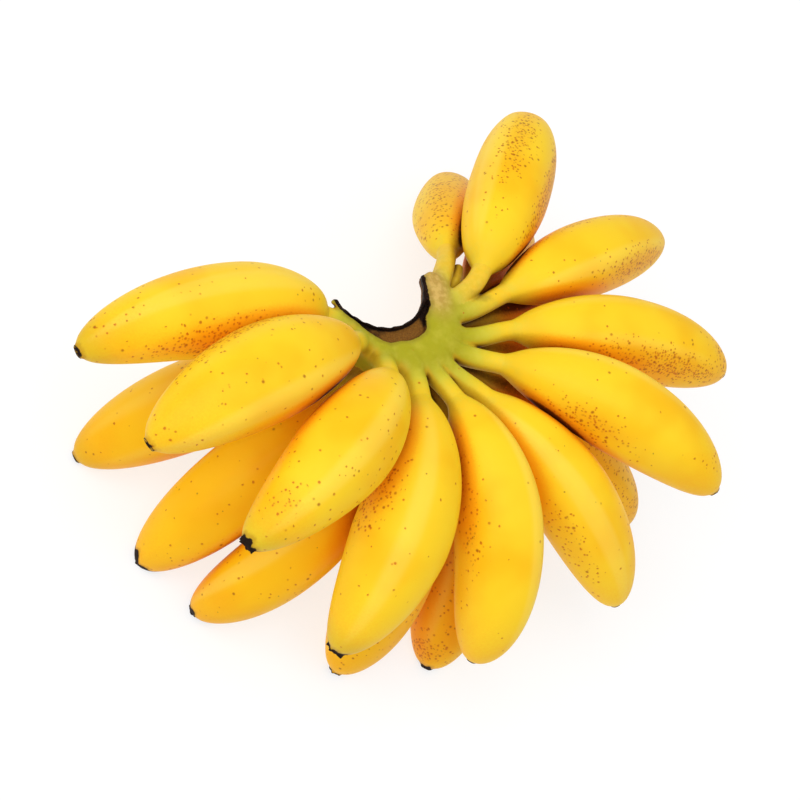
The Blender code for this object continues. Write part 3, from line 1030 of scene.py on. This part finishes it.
    def values(self, sides: list[np.ndarray]) -> tuple[np.ndarray, np.ndarray]:
        """Return the grid's places and their distances, worked out finely only near the surface.

        Every coarse cell takes its middle's distance, and only the points of cells whose middle is nearer
        to the surface than 1.3 of its widths get their own.

        Args:
            sides: the places of the grid's planes along each axis.

        Returns:
            The places, by the three axes and by 3, and their distances.
        """
        places = np.stack(np.meshgrid(*sides, indexing="ij"), axis=-1)
        middles = [side.reshape(-1, self.coarse).mean(axis=1) for side in sides]
        rough = self.distance(np.stack(np.meshgrid(*middles, indexing="ij"), axis=-1).reshape(-1, 3))
        value = rough.reshape([len(m) for m in middles])
        for axis in range(3):
            value = np.repeat(value, self.coarse, axis=axis)
        near = np.abs(value) < 1.3 * self.coarse * self.pitch
        value[near] = self.distance(places[near])
        return places, value

    def net(self) -> tuple[np.ndarray, list[list[int]]]:
        """Return the surface as a net: a point in each cell it crosses, and a quad round each crossed edge.

        A cell's point is the mean of the places where the surface crosses the cell's edges.

        Returns:
            The points, one a row, and the quads as lists of indices.
        """
        ends = np.concatenate([places for places, _ in self.tubes])
        low, high = ends.min(axis=0) - 10.0, ends.max(axis=0) + 10.0
        low[2] = min(low[2], self.base - 3.0)
        cell = self.pitch * self.coarse
        counts = np.ceil((high - low) / cell).astype(int) * self.coarse
        places, value = self.values([low[k] + self.pitch * np.arange(counts[k]) for k in range(3)])
        cells = tuple(n - 1 for n in value.shape)
        total, count = np.zeros(cells + (3,)), np.zeros(cells)
        crossings = []
        for axis in range(3):
            lower, upper = [slice(None)] * 3, [slice(None)] * 3
            lower[axis], upper[axis] = slice(None, -1), slice(1, None)
            a, b = value[tuple(lower)], value[tuple(upper)]
            crossed = (a < 0) != (b < 0)
            share = np.where(crossed, a / np.where(crossed, a - b, 1.0), 0.0)
            at = places[tuple(lower)] + share[..., None] * np.eye(3)[axis] * self.pitch
            crossings.append((crossed, a < 0))
            others = [k for k in range(3) if k != axis]
            for shift in ((0, 0), (0, 1), (1, 0), (1, 1)):
                part = [slice(None)] * 3
                for other, s in zip(others, shift):
                    part[other] = slice(s, value.shape[other] - 1 + s)
                hit = crossed[tuple(part)]
                total += np.where(hit[..., None], at[tuple(part)], 0.0)
                count += hit
        active = count > 0
        index = np.cumsum(active).reshape(cells) - 1
        quads = []
        for axis, (crossed, from_inside) in enumerate(crossings):
            b, c = (axis + 1) % 3, (axis + 2) % 3
            where = np.argwhere(crossed)
            inner = [(where[:, k] > 0) & (where[:, k] < cells[k]) for k in (b, c)]
            where = where[inner[0] & inner[1]]
            corners = []
            for back_b, back_c in ((1, 1), (0, 1), (0, 0), (1, 0)):
                cell = where.copy()
                cell[:, b] -= back_b
                cell[:, c] -= back_c
                corners.append(index[tuple(cell.T)])
            quad = np.stack(corners, axis=-1)
            flip = ~from_inside[tuple(where.T)]
            quad[flip] = quad[flip][:, ::-1]
            quads.append(quad)
        return total[active] / count[active][:, None], np.concatenate(quads).tolist()

    def slope(self, points: np.ndarray) -> np.ndarray:
        """Return the distance's slope, by differences over a fifth of a millimetre to each side.

        Args:
            points: places in the crown's frame, one a row.

        Returns:
            The slopes, one a row.
        """
        step = 0.2
        return np.stack([
            (self.distance(points + step * axis) - self.distance(points - step * axis)) / (2 * step)
            for axis in np.eye(3)
        ], axis=-1)

    def drawn_on(self, points: np.ndarray) -> tuple[np.ndarray, np.ndarray]:
        """Move points on to the surface, by three steps along the distance's slope.

        Args:
            points: places near the surface, one a row.

        Returns:
            The moved points, and the surface's normals there.
        """
        for _ in range(3):
            slope = self.slope(points)
            square = np.maximum((slope**2).sum(axis=1), 0.1)
            step = -(self.distance(points) / square)[:, None] * slope
            points = points + np.clip(step, -0.4 * self.pitch, 0.4 * self.pitch)
        return points, slope / np.maximum(np.linalg.norm(slope, axis=1, keepdims=True), 1e-6)

    def crowding(self, points: np.ndarray, normals: np.ndarray, nearest: np.ndarray,
                 cluster: Cluster) -> np.ndarray:
        """Return from 0 to 1 how much of the space before each point the crown and the bananas take.

        It is worked out as on the fruits, so the painted shade runs on from a neck into its fruit. The web,
        which no banana owns, has the bananas 2 mm further off.

        Args:
            points: places on the crown's surface, in its frame.
            normals: the surface's there.
            nearest: the number of each point's tube, or -1 on the web.
            cluster: the bananas.

        Returns:
            One share a point.
        """
        painted_shade = np.zeros(len(points))
        for owner in np.unique(nearest):
            part = nearest == owner
            on_neck = 0 <= owner < len(self.fruits)
            name, spare = (self.fruits[owner].name, 0.0) if on_neck else ("web", self.web_spare)
            painted_shade[part] = cluster.crowding(
                points[part] + CROWN_AT, normals[part], name, spare, lambda at: self.distance(at - CROWN_AT)
            )
            # More painted shade on the upward faces of the lower row's necks, under the upper row
            if on_neck and self.fruits[owner].row is Row.LOWER:
                painted_shade[part] += self.fruits[owner].gap_shade * smooth_step(*FACES_UP, normals[part, 2])
        return painted_shade

    def nearest_tube(self, points: np.ndarray) -> tuple[np.ndarray, np.ndarray, np.ndarray, np.ndarray]:
        """Find each point's nearest tube.

        Args:
            points: places in the crown's frame, one a row.

        Returns:
            The tubes' numbers, or -1 on the web, their distances, how far along its neck each point is, and
            how ripe it is.
        """
        along, ripe = np.zeros(len(points)), np.zeros(len(points))
        best = np.full(len(points), self.web_from)
        nearest = np.full(len(points), -1)
        for number, (places, radii) in enumerate(self.tubes):
            gap, where = self.along_tube(points, places, radii)
            closer = gap < best
            best = np.where(closer, gap, best)
            nearest = np.where(closer, number, nearest)
            progress = self.progress[number]
            along = np.where(closer, np.interp(where, np.arange(len(progress)), progress), along)
            ripe = np.where(closer, self.ripe_necks.get(number, 0.0), ripe)
        return nearest, best, along, ripe

    def cut_depth(self, points: np.ndarray, off: np.ndarray, turn: np.ndarray) -> np.ndarray:
        """Return how far inside the dried cut points are, in millimetres: scar, lip or withered bract.

        Args:
            points: places in the crown's frame.
            off: how far they are outside the stalk's column.
            turn: their bearings round it.

        Returns:
            The depths, negative outside.
        """
        scar = self.scar_distance(points)
        face = np.where(points[:, 2] > self.scar_floor - 1.4, -scar + 0.3, NOWHERE)
        within = (turn > self.lip_from - 6.0) & (turn < self.lip_to + 6.0)
        wall = np.where(within, self.lip_thickness + 0.35 - off, NOWHERE)
        bract = 0.8 - np.linalg.norm((points - self.bract_at) / self.bract_size, axis=1)
        return np.maximum(np.maximum(face, wall), bract)

    def freshness(self, points: np.ndarray, off: np.ndarray, turn: np.ndarray) -> np.ndarray:
        """Return how pale and fresh the cut is: on the scar's middle, on the horn and low on the wall.

        Args:
            points: places in the crown's frame.
            off: how far they are outside the stalk's column.
            turn: their bearings round it.

        Returns:
            One share a point, from 0 to 1.
        """
        first, last = self.pith_bearings
        fresh = smooth_step(*first, turn) * smooth_step(*last, turn)
        fresh *= smooth_step(0.5, 1.6, off) * smooth_step(-1.2, 1.0, -self.scar_distance(points))
        middle, width = self.pale_horn_at
        horn = bell(angle_between(turn, middle), width) * smooth_step(0.5, 1.2, off)
        hollow = 0.6 * smooth_step(*self.hollow_depth, points[:, 2]) * smooth_step(0.9, 0.2, off)
        return np.maximum(np.maximum(fresh, 0.9 * horn), hollow)

    def marks(self, points: np.ndarray, normals: np.ndarray, cluster: Cluster) -> dict[str, np.ndarray]:
        """Return what the skin's material reads at each point.

        Args:
            points: places in the crown's frame.
            normals: the surface's there.
            cluster: the bananas.

        Returns:
            Values by name: green on the web and less so along each neck, beige on the arm and on ripe
            necks, how far inside the cut a point is in millimetres, and how fresh the cut is there.
        """
        nearest, best, along, ripe = self.nearest_tube(points)
        off, turn = self.stalk_distance(points)
        arm = smooth_step(*self.tan_bearings, turn) * smooth_step(*self.tan_reach, off)
        yellowing = ripe * smooth_step(-0.1, 0.4, along) * smooth_step(1.5, 0.3, best)
        green = 1.0 - 0.75 * smooth_step(0.1, 0.95, along) - 0.5 * yellowing
        return {
            "young": np.ones(len(points)),
            "green": np.clip(green, 0.15, 1.0),
            # Painted shade from the bananas and from the crown's own necks
            "painted_shade": self.crowding(points, normals, nearest, cluster),
            "freckle": np.full(len(points), 0.02),
            "dried": np.full(len(points), NOWHERE),
            "beige": np.maximum(arm * (1 - along), 0.35 * yellowing * (1 - 0.6 * along)),
            "ridge_highlight": np.zeros(len(points)),
            "cut": self.cut_depth(points, off, turn),
            "fresh": self.freshness(points, off, turn),
        }

    def build(self, material: bpy.types.Material, cluster: Cluster) -> bpy.types.Object:
        """Build the crown's piece in place of its node.

        Args:
            material: the crown's skin, with the cut.
            cluster: the bananas.

        Returns:
            The finished object.
        """
        points, faces = self.net()
        points, normals = self.drawn_on(points)
        builder = MeshBuilder("crown_skin", "crown_skin", material)
        return builder.build(points + CROWN_AT, faces, self.marks(points, normals, cluster), "crown")


class NodeTree:
    """Adds nodes to one new material."""

    def __init__(self, name: str) -> None:
        """Start a material with an empty tree.

        Args:
            name: the material's name.
        """
        self.material = bpy.data.materials.new(name)
        self.material.use_nodes = True
        self.tree = self.material.node_tree
        self.tree.nodes.clear()

    def add(self, kind: str, inputs: dict | None = None, output: int | str = 0, **settings) -> Socket:
        """Add a node with its settings, and link or set its inputs.

        Args:
            kind: the node's type, without the word ShaderNode.
            inputs: by input name or number, a socket to link from, a hex colour or a constant.
            output: the output wanted, by name or number.
            **settings: the node's own properties.

        Returns:
            The wanted output.
        """
        node = self.tree.nodes.new("ShaderNode" + kind)
        for word, value in settings.items():
            setattr(node, word, value)
        for key, value in (inputs or {}).items():
            if isinstance(value, bpy.types.NodeSocket):
                self.tree.links.new(value, node.inputs[key])
            else:
                node.inputs[key].default_value = linear(value) if isinstance(value, str) else value
        return node.outputs[output] if len(node.outputs) else None

    def lumps(self, size: float, detail: float = 2.0, roughness: float = 0.5, shift: float = 0.0) -> Socket:
        """Return a pattern from 0 to 1 with lumps about size millimetres wide, fixed to the object.

        Args:
            size: the lumps' width.
            detail: how many finer patterns lie on them.
            roughness: how strong those are.
            shift: how far it is moved, for lumps of another draw.

        Returns:
            The pattern.
        """
        place = self.add("TexCoord", output="Object")
        moved = self.add("Mapping", {"Vector": place, "Location": (shift, shift, shift)})
        return self.add(
            "TexNoise",
            {"Vector": moved, "Scale": 1000.0 / size, "Detail": detail, "Roughness": roughness},
        )

    def ragged(self, depth: Socket, pattern: Socket, reach: float, edge: float) -> Socket:
        """Return 1 where a depth in millimetres is over 0, with a ragged border.

        Args:
            depth: millimetres inside the border.
            pattern: what makes it ragged, from 0 to 1.
            reach: how far the border wanders to each side, in millimetres.
            edge: the border's softness in millimetres.

        Returns:
            The share inside.
        """
        wander = self.add(
            "MapRange", {VALUE: pattern, LOW: 0.25, HIGH: 0.75, TO_LOW: -reach, TO_HIGH: reach}, clamp=False
        )
        moved = self.add("Math", {0: depth, 1: wander}, operation="ADD")
        return self.add("MapRange", {VALUE: moved, LOW: -edge, HIGH: edge}, **SMOOTH)


@dataclass(frozen=True)
class Freckles:
    """Round freckles: a disc in each of the cells whose chance is under a power of the local density.

    pitch is the cells' size and radius a disc's, in millimetres. gather is the power: with more, the
    freckles keep to the middles of the patches.
    """

    pitch: float
    radius: float
    colour: str
    share: float
    gather: float
    shift: float

    def over(self, w: NodeTree, under: Socket, density: Socket) -> Socket:
        """Lay these freckles and their faint halos over a colour.

        Args:
            w: the material's nodes.
            under: the colour so far.
            density: how many freckles there are, from 0 to 1.

        Returns:
            The colour with the freckles.
        """
        place = w.add("TexCoord", output="Object")
        moved = w.add("Mapping", {"Vector": place, "Location": (self.shift, self.shift, self.shift)})
        cells = w.add("TexVoronoi", {"Vector": moved, "Scale": 1000.0 / self.pitch}, "Color")
        chance = w.add("SeparateColor", {0: cells})
        local = w.add("Math", {0: density, 1: self.gather}, operation="POWER")
        there = w.add("Math", {0: chance, 1: local}, operation="LESS_THAN")
        widest = self.radius / self.pitch
        reach = w.add(
            "MapRange", {VALUE: chance.node.outputs[1], TO_LOW: 0.5 * widest, TO_HIGH: widest}
        )
        ratio = w.add("Math", {0: cells.node.outputs["Distance"], 1: reach}, operation="DIVIDE")
        disc = w.add("MapRange", {VALUE: ratio, LOW: 2.2, HIGH: 0.5}, **SMOOTH)
        strength = w.add("Math", {0: disc, 1: there}, operation="MULTIPLY")
        strength = w.add("Math", {0: strength, 1: self.share}, operation="MULTIPLY")
        return w.add("Mix", {SHARE: strength, UNDER: under, OVER: self.colour}, **COLOURS)


@dataclass(frozen=True)
class DriedCut:
    """A dried cut through crown and fibre: sap that went black, dull and cracked, with brown pith inside."""

    char: str = "#0E0705"
    crust: str = "#2A150A"
    pith: tuple[str, str] = ("#71481A", "#8A5C20")
    stain: str = "#7E6A22"

    def over(self, w: NodeTree, under: Socket) -> tuple[Socket, Socket]:
        """Lay the cut over a colour, with a stain round it, a dark crust and the opened pith.

        Args:
            w: the material's nodes.
            under: the colour so far.

        Returns:
            The colour with the cut, and the cut's share.
        """
        depth = w.add("Attribute", output="Fac", attribute_name="cut")
        coarse, fine = w.lumps(2.6, 4, 0.6, 4.0), w.lumps(0.7, 3, 0.7, 5.0)
        near = w.add("Math", {0: depth, 1: 1.2}, operation="ADD")
        stained = w.add("Math", {0: w.ragged(near, coarse, 0.5, 1.2), 1: 0.5}, operation="MULTIPLY")
        colour = w.add("Mix", {SHARE: stained, UNDER: under, OVER: self.stain}, **COLOURS)
        share = w.ragged(depth, coarse, 0.35, 0.15)
        dark = w.add("MapRange", {VALUE: fine, LOW: 0.4, HIGH: 0.65}, **SMOOTH)
        dark = w.add("Mix", {SHARE: dark, UNDER: self.char, OVER: self.crust}, **COLOURS)
        fresh = w.add("Attribute", output="Fac", attribute_name="fresh")
        opened = w.add("Math", {0: coarse, 1: 0.9, 2: fresh}, operation="MULTIPLY_ADD")
        opened = w.add("MapRange", {VALUE: opened, LOW: 0.65, HIGH: 1.25}, **SMOOTH)
        fibres = w.add("MapRange", {VALUE: fine, LOW: 0.35, HIGH: 0.7}, **SMOOTH)
        pith = w.add("Mix", {SHARE: fibres, UNDER: self.pith[0], OVER: self.pith[1]}, **COLOURS)
        dark = w.add("Mix", {SHARE: opened, UNDER: dark, OVER: pith}, **COLOURS)
        return w.add("Mix", {SHARE: share, UNDER: colour, OVER: dark}, **COLOURS), share


@dataclass(frozen=True)
class BananaPeel:
    """Ripe banana peel: a thin waxy skin over pale flesh, so it is satin, and light sinks in a little.

    shade_tones are painted shade where neighbours lie close to the peel: an orange glow of light bounced
    between the bananas, then a deeper orange, then nearly black red in the gaps. Each is a colour on ripe and
    one on young peel, where it starts and is full, and its share. ridge_highlight is a paler yellow painted
    along the ridges as a highlight. web is the ramp from the fruit's yellow to the crown's green, web_bloom
    paler spots on it, tan the dry skin of the arm, rust the wash under dense freckles, and husk the dried
    flower. sink is in millimetres.
    """

    name: str
    bright: str
    deep: str
    # Painted shade: orange bounced light near neighbours, a deeper orange, then nearly black red in the gaps
    shade_tones: tuple[tuple[tuple[str, str], float, float, float], ...] = (
        (("#F59C08", "#C8A01C"), 0.2, 0.54, 0.75),
        (("#C45A02", "#80560E"), 0.48, 0.92, 0.8),
        (("#4A1402", "#321603"), 0.82, 1.10, 0.92),
    )
    web: tuple[tuple[float, str], ...] = (
        (0.0, "#FBC820"), (0.3, "#EECA2A"), (0.65, "#CDC134"), (1.0, "#A9A31E")
    )
    web_bloom: str = "#D2C84A"
    # A paler yellow, painted along the ridges as a highlight
    ridge_highlight: str = "#FFE272"
    tan: tuple[str, str] = ("#BC984A", "#D0AE60")
    rust: str = "#E68E08"
    husk: tuple[str, str] = ("#0C0705", "#2C1A10")
    husk_rim: str = "#9A5A16"
    roughness: float = 0.45
    grain: float = 0.04
    gloss: float = 0.13
    wax_coat: float = 0.02
    sink: float = 1.6
    cut: DriedCut | None = None
    freckles: tuple[Freckles, ...] = (
        Freckles(1.15, 0.42, "#C0540A", 0.8, 1.7, 0.3),
        Freckles(2.0, 0.48, "#A0440C", 0.78, 1.8, 2.3),
        Freckles(4.4, 0.3, "#7C4A16", 0.7, 0.7, 5.1),
    )

    def young(self, w: NodeTree) -> Socket:
        """Colour peel that is still green, over a ramp from the fruit's yellow to the web's.

        Args:
            w: the material's nodes.

        Returns:
            The colour.
        """
        ramp = w.add("ValToRGB", {0: w.add("Attribute", output="Fac", attribute_name="green")})
        elements = ramp.node.color_ramp.elements
        for _ in self.web[2:]:
            elements.new(0.5)
        for element, (position, colour) in zip(elements, self.web):
            element.position = position
            element.color = linear(colour)
        bloom = w.lumps(6, 3, 0.6, 1.0)
        pale = w.add("MapRange", {VALUE: bloom, LOW: 0.42, HIGH: 0.72, TO_LOW: 0.0, TO_HIGH: 0.3}, **SMOOTH)
        return w.add("Mix", {SHARE: pale, UNDER: ramp, OVER: self.web_bloom}, **COLOURS)

    def paint_shade(self, w: NodeTree, under: Socket, fine: Socket) -> Socket:
        """Paint shade over a colour near neighbours: orange bounced light, then nearly black red in the gaps.

        Args:
            w: the material's nodes.
            under: the colour so far.
            fine: a fine pattern, which makes the borders grainy.

        Returns:
            The warmer colour.
        """
        painted_shade = w.add("Attribute", output="Fac", attribute_name="painted_shade")
        young = w.add("Attribute", output="Fac", attribute_name="young")
        grainy = w.add("Math", {0: fine, 1: 0.22, 2: painted_shade}, operation="MULTIPLY_ADD")
        colour = under
        for tone, low, high, share in self.shade_tones:
            tone = w.add("Mix", {SHARE: young, UNDER: tone[0], OVER: tone[1]}, **COLOURS)
            strength = w.add(
                "MapRange", {VALUE: grainy, LOW: low, HIGH: high, TO_LOW: 0.0, TO_HIGH: share}, **SMOOTH
            )
            colour = w.add("Mix", {SHARE: strength, UNDER: colour, OVER: tone}, **COLOURS)
        return colour

    def dried_end(self, w: NodeTree, under: Socket) -> tuple[Socket, Socket]:
        """Lay the dried flower's husk over a colour, with a brown rim.

        Args:
            w: the material's nodes.
            under: the colour so far.

        Returns:
            The colour with the husk, and the husk's share.
        """
        depth = w.add("Attribute", output="Fac", attribute_name="dried")
        pattern = w.lumps(1.6, 3, 0.6, 6.0)
        near = w.add("Math", {0: depth, 1: 1.0}, operation="ADD")
        rim = w.add("Math", {0: w.ragged(near, pattern, 0.5, 0.9), 1: 0.45}, operation="MULTIPLY")
        colour = w.add("Mix", {SHARE: rim, UNDER: under, OVER: self.husk_rim}, **COLOURS)
        share = w.ragged(depth, pattern, 0.4, 0.2)
        husk = w.add("Mix", {SHARE: pattern, UNDER: self.husk[0], OVER: self.husk[1]}, **COLOURS)
        return w.add("Mix", {SHARE: share, UNDER: colour, OVER: husk}, **COLOURS), share

    def material(self) -> bpy.types.Material:
        """Lay colours, painted highlight, painted shade, freckles, husk and cut over each other, in a satin
        shader.

        Returns:
            The peel's material.
        """
        w = NodeTree(self.name)
        fine = w.lumps(0.8, 3, 0.65, 2.0)
        broad = w.add("MapRange", {VALUE: w.lumps(30, 2), LOW: 0.4, HIGH: 0.72}, **SMOOTH)
        colour = w.add("Mix", {SHARE: broad, UNDER: self.bright, OVER: self.deep}, **COLOURS)
        # Painted highlight: a paler yellow along the ridges
        ridge_highlight = w.add("Attribute", output="Fac", attribute_name="ridge_highlight")
        colour = w.add("Mix", {SHARE: ridge_highlight, UNDER: colour, OVER: self.ridge_highlight}, **COLOURS)
        young = w.add("Attribute", output="Fac", attribute_name="young")
        colour = w.add("Mix", {SHARE: young, UNDER: colour, OVER: self.young(w)}, **COLOURS)
        tan = w.add("MapRange", {VALUE: w.lumps(2.5, 3, 0.6), LOW: 0.4, HIGH: 0.62}, **SMOOTH)
        tan = w.add("Mix", {SHARE: tan, UNDER: self.tan[0], OVER: self.tan[1]}, **COLOURS)
        beige = w.add("Attribute", output="Fac", attribute_name="beige")
        colour = w.add("Mix", {SHARE: beige, UNDER: colour, OVER: tan}, **COLOURS)
        # Painted shade near neighbours, with orange bounced light
        colour = self.paint_shade(w, colour, fine)
        density = w.add("Attribute", output="Fac", attribute_name="freckle")
        wash = w.add("MapRange", {VALUE: density, LOW: 0.25, HIGH: 1.0, TO_LOW: 0.0, TO_HIGH: 0.4}, **SMOOTH)
        colour = w.add("Mix", {SHARE: wash, UNDER: colour, OVER: self.rust}, **COLOURS)
        for freckles in self.freckles:
            colour = freckles.over(w, colour, density)
        colour, dried = self.dried_end(w, colour)
        if self.cut:
            colour, dead = self.cut.over(w, colour)
            dried = w.add("Math", {0: dried, 1: dead}, operation="MAXIMUM")
        rough = w.add("MapRange", {
            VALUE: fine, LOW: 0.3, HIGH: 0.7,
            TO_LOW: self.roughness - self.grain, TO_HIGH: self.roughness + self.grain,
        })
        rough = w.add("Math", {0: dried, 1: 0.3, 2: rough}, operation="MULTIPLY_ADD")
        soft = w.add("Math", {0: fine, 1: 0.25, 2: w.lumps(4.0)}, operation="MULTIPLY_ADD")
        crust = w.add("Math", {0: w.lumps(0.9, 3, 0.7), 1: dried}, operation="MULTIPLY")
        height = w.add("Math", {0: crust, 1: 3.5, 2: soft}, operation="MULTIPLY_ADD")
        bump = w.add("Bump", {"Height": height, "Strength": 0.35, "Distance": 0.14 * METRES})
        shader = w.add("BsdfPrincipled", {
            "Base Color": colour, "Roughness": rough, "Normal": bump, "IOR": 1.45,
            "Specular IOR Level": self.gloss, "Coat Weight": self.wax_coat, "Coat Roughness": 0.35,
            "Subsurface Weight": 0.12, "Subsurface Radius": (1.0, 0.45, 0.1),
            "Subsurface Scale": self.sink * METRES,
        })
        w.add("OutputMaterial", {"Surface": shader})
        return w.material


@dataclass(frozen=True)
class SoftBox:
    """A square light that faces the hand: its place and size in metres, and its power in watts."""

    name: str
    place: tuple[float, float, float]
    size: float
    power: float

    def hang(self) -> None:
        """Hang the light, turned to the hand's middle."""
        light = bpy.data.lights.new(self.name, "AREA")
        light.shape = "SQUARE"
        light.size = self.size
        light.energy = self.power
        lamp = bpy.data.objects.new(self.name, light)
        lamp.location = Vector(self.place)
        lamp.rotation_euler = (Vector((0, 0, 0.06)) - lamp.location).to_track_quat("-Z", "Y").to_euler()
        bpy.context.scene.collection.objects.link(lamp)


@dataclass(frozen=True)
class Studio:
    """A plain pale floor, soft lights and the camera: it looks down on the hand, tilted and rolled.

    The camera's distances are millimetres: the crown's middle stands crown_right and crown_up of the
    picture's middle, and camera_distance away. The floor's half and its depth are metres.
    """

    tilt: float = 35.0
    crown_right: float = 2.7
    crown_up: float = 38.7
    camera_distance: float = 700.0
    picture_width: float = 800.0
    focal_length_in_pixels: float = 1807.0
    sensor: float = 36.0
    floor_colour: str = "#969696"
    floor_glow: float = 0.72
    floor_half: float = 3.0
    floor_height: float = -0.0003
    room_glow: float = 0.46
    soft_boxes: tuple[SoftBox, ...] = (
        SoftBox("key", (-0.72, -0.1, 1.3), 1.6, 16.5),
        SoftBox("fill", (0.5, -0.2, 1.5), 1.4, 5.0),
    )

    def floor(self) -> None:
        """Lay the floor: a matt white light table, which glows a little and so softens the shadows."""
        w = NodeTree("pale_floor")
        shader = w.add("BsdfPrincipled", {
            "Base Color": self.floor_colour, "Roughness": 0.9, "Specular IOR Level": 0.1,
            "Emission Color": "#FFFFFF", "Emission Strength": self.floor_glow,
        })
        w.add("OutputMaterial", {"Surface": shader})
        half, height = self.floor_half, self.floor_height
        corners = [(-half, -half, height), (half, -half, height), (half, half, height), (-half, half, height)]
        mesh = bpy.data.meshes.new("floor")
        mesh.from_pydata(corners, [], [[0, 1, 2, 3]])
        mesh.materials.append(w.material)
        floor = bpy.data.objects.new("floor", mesh)
        bpy.context.scene.collection.objects.link(floor)

    def lights(self) -> None:
        """Light the hand from near the camera and from its right, with a weak white surround."""
        for soft_box in self.soft_boxes:
            soft_box.hang()
        world = bpy.data.worlds.new("white_room")
        world.use_nodes = True
        background = world.node_tree.nodes["Background"]
        background.inputs["Color"].default_value = (1.0, 1.0, 1.0, 1.0)
        background.inputs["Strength"].default_value = self.room_glow
        bpy.context.scene.world = world
        bpy.context.scene.view_settings.view_transform = "Standard"

    def camera(self) -> None:
        """Set the camera: tilted about the level line across the crown's open side."""
        turn = Quaternion((1.0, -1.0, 0.0), math.radians(self.tilt))
        seen_from_crown = Vector((-self.crown_right, -self.crown_up, self.camera_distance))
        data = bpy.data.cameras.new("camera")
        data.sensor_width = self.sensor
        data.lens = self.sensor * self.focal_length_in_pixels / self.picture_width
        data.clip_start, data.clip_end = 0.01, 10.0
        camera = bpy.data.objects.new("camera", data)
        camera.rotation_mode = "QUATERNION"
        camera.rotation_quaternion = turn
        camera.location = (Vector(CROWN_AT) + turn @ seen_from_crown) * METRES
        bpy.context.scene.collection.objects.link(camera)
        bpy.context.scene.camera = camera


# The lower row's peel is a deeper, more orange copy of the upper row's: partly its own colour, partly painted
# shade and warm bounced light from lying under the upper row
PEELS = {
    Row.UPPER: BananaPeel("ripe_peel_upper", "#FDD024", "#FABE14"),
    Row.LOWER: BananaPeel("ripe_peel_lower", "#FCC214", "#F8B40C"),
}
CROWN_PEEL = BananaPeel("young_skin_and_dried_cut", "#FDD024", "#FABE14", cut=DriedCut())


def main() -> None:
    """Build the studio, every banana and the crown."""
    logging.basicConfig(level=logging.INFO, format="%(name)s: %(message)s")
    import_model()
    studio = Studio()
    studio.floor()
    studio.lights()
    studio.camera()
    fruits = [
        Fruit(row, number, finger)
        for row, fingers in FINGERS.items()
        for number, finger in enumerate(fingers, start=1)
    ]
    cluster = Cluster(fruits)
    peels = {row: peel.material() for row, peel in PEELS.items()}
    for fruit in fruits:
        fruit.build(peels[fruit.row], cluster)
    Crown(fruits).build(CROWN_PEEL.material(), cluster)


if __name__ == "__main__":
    main()
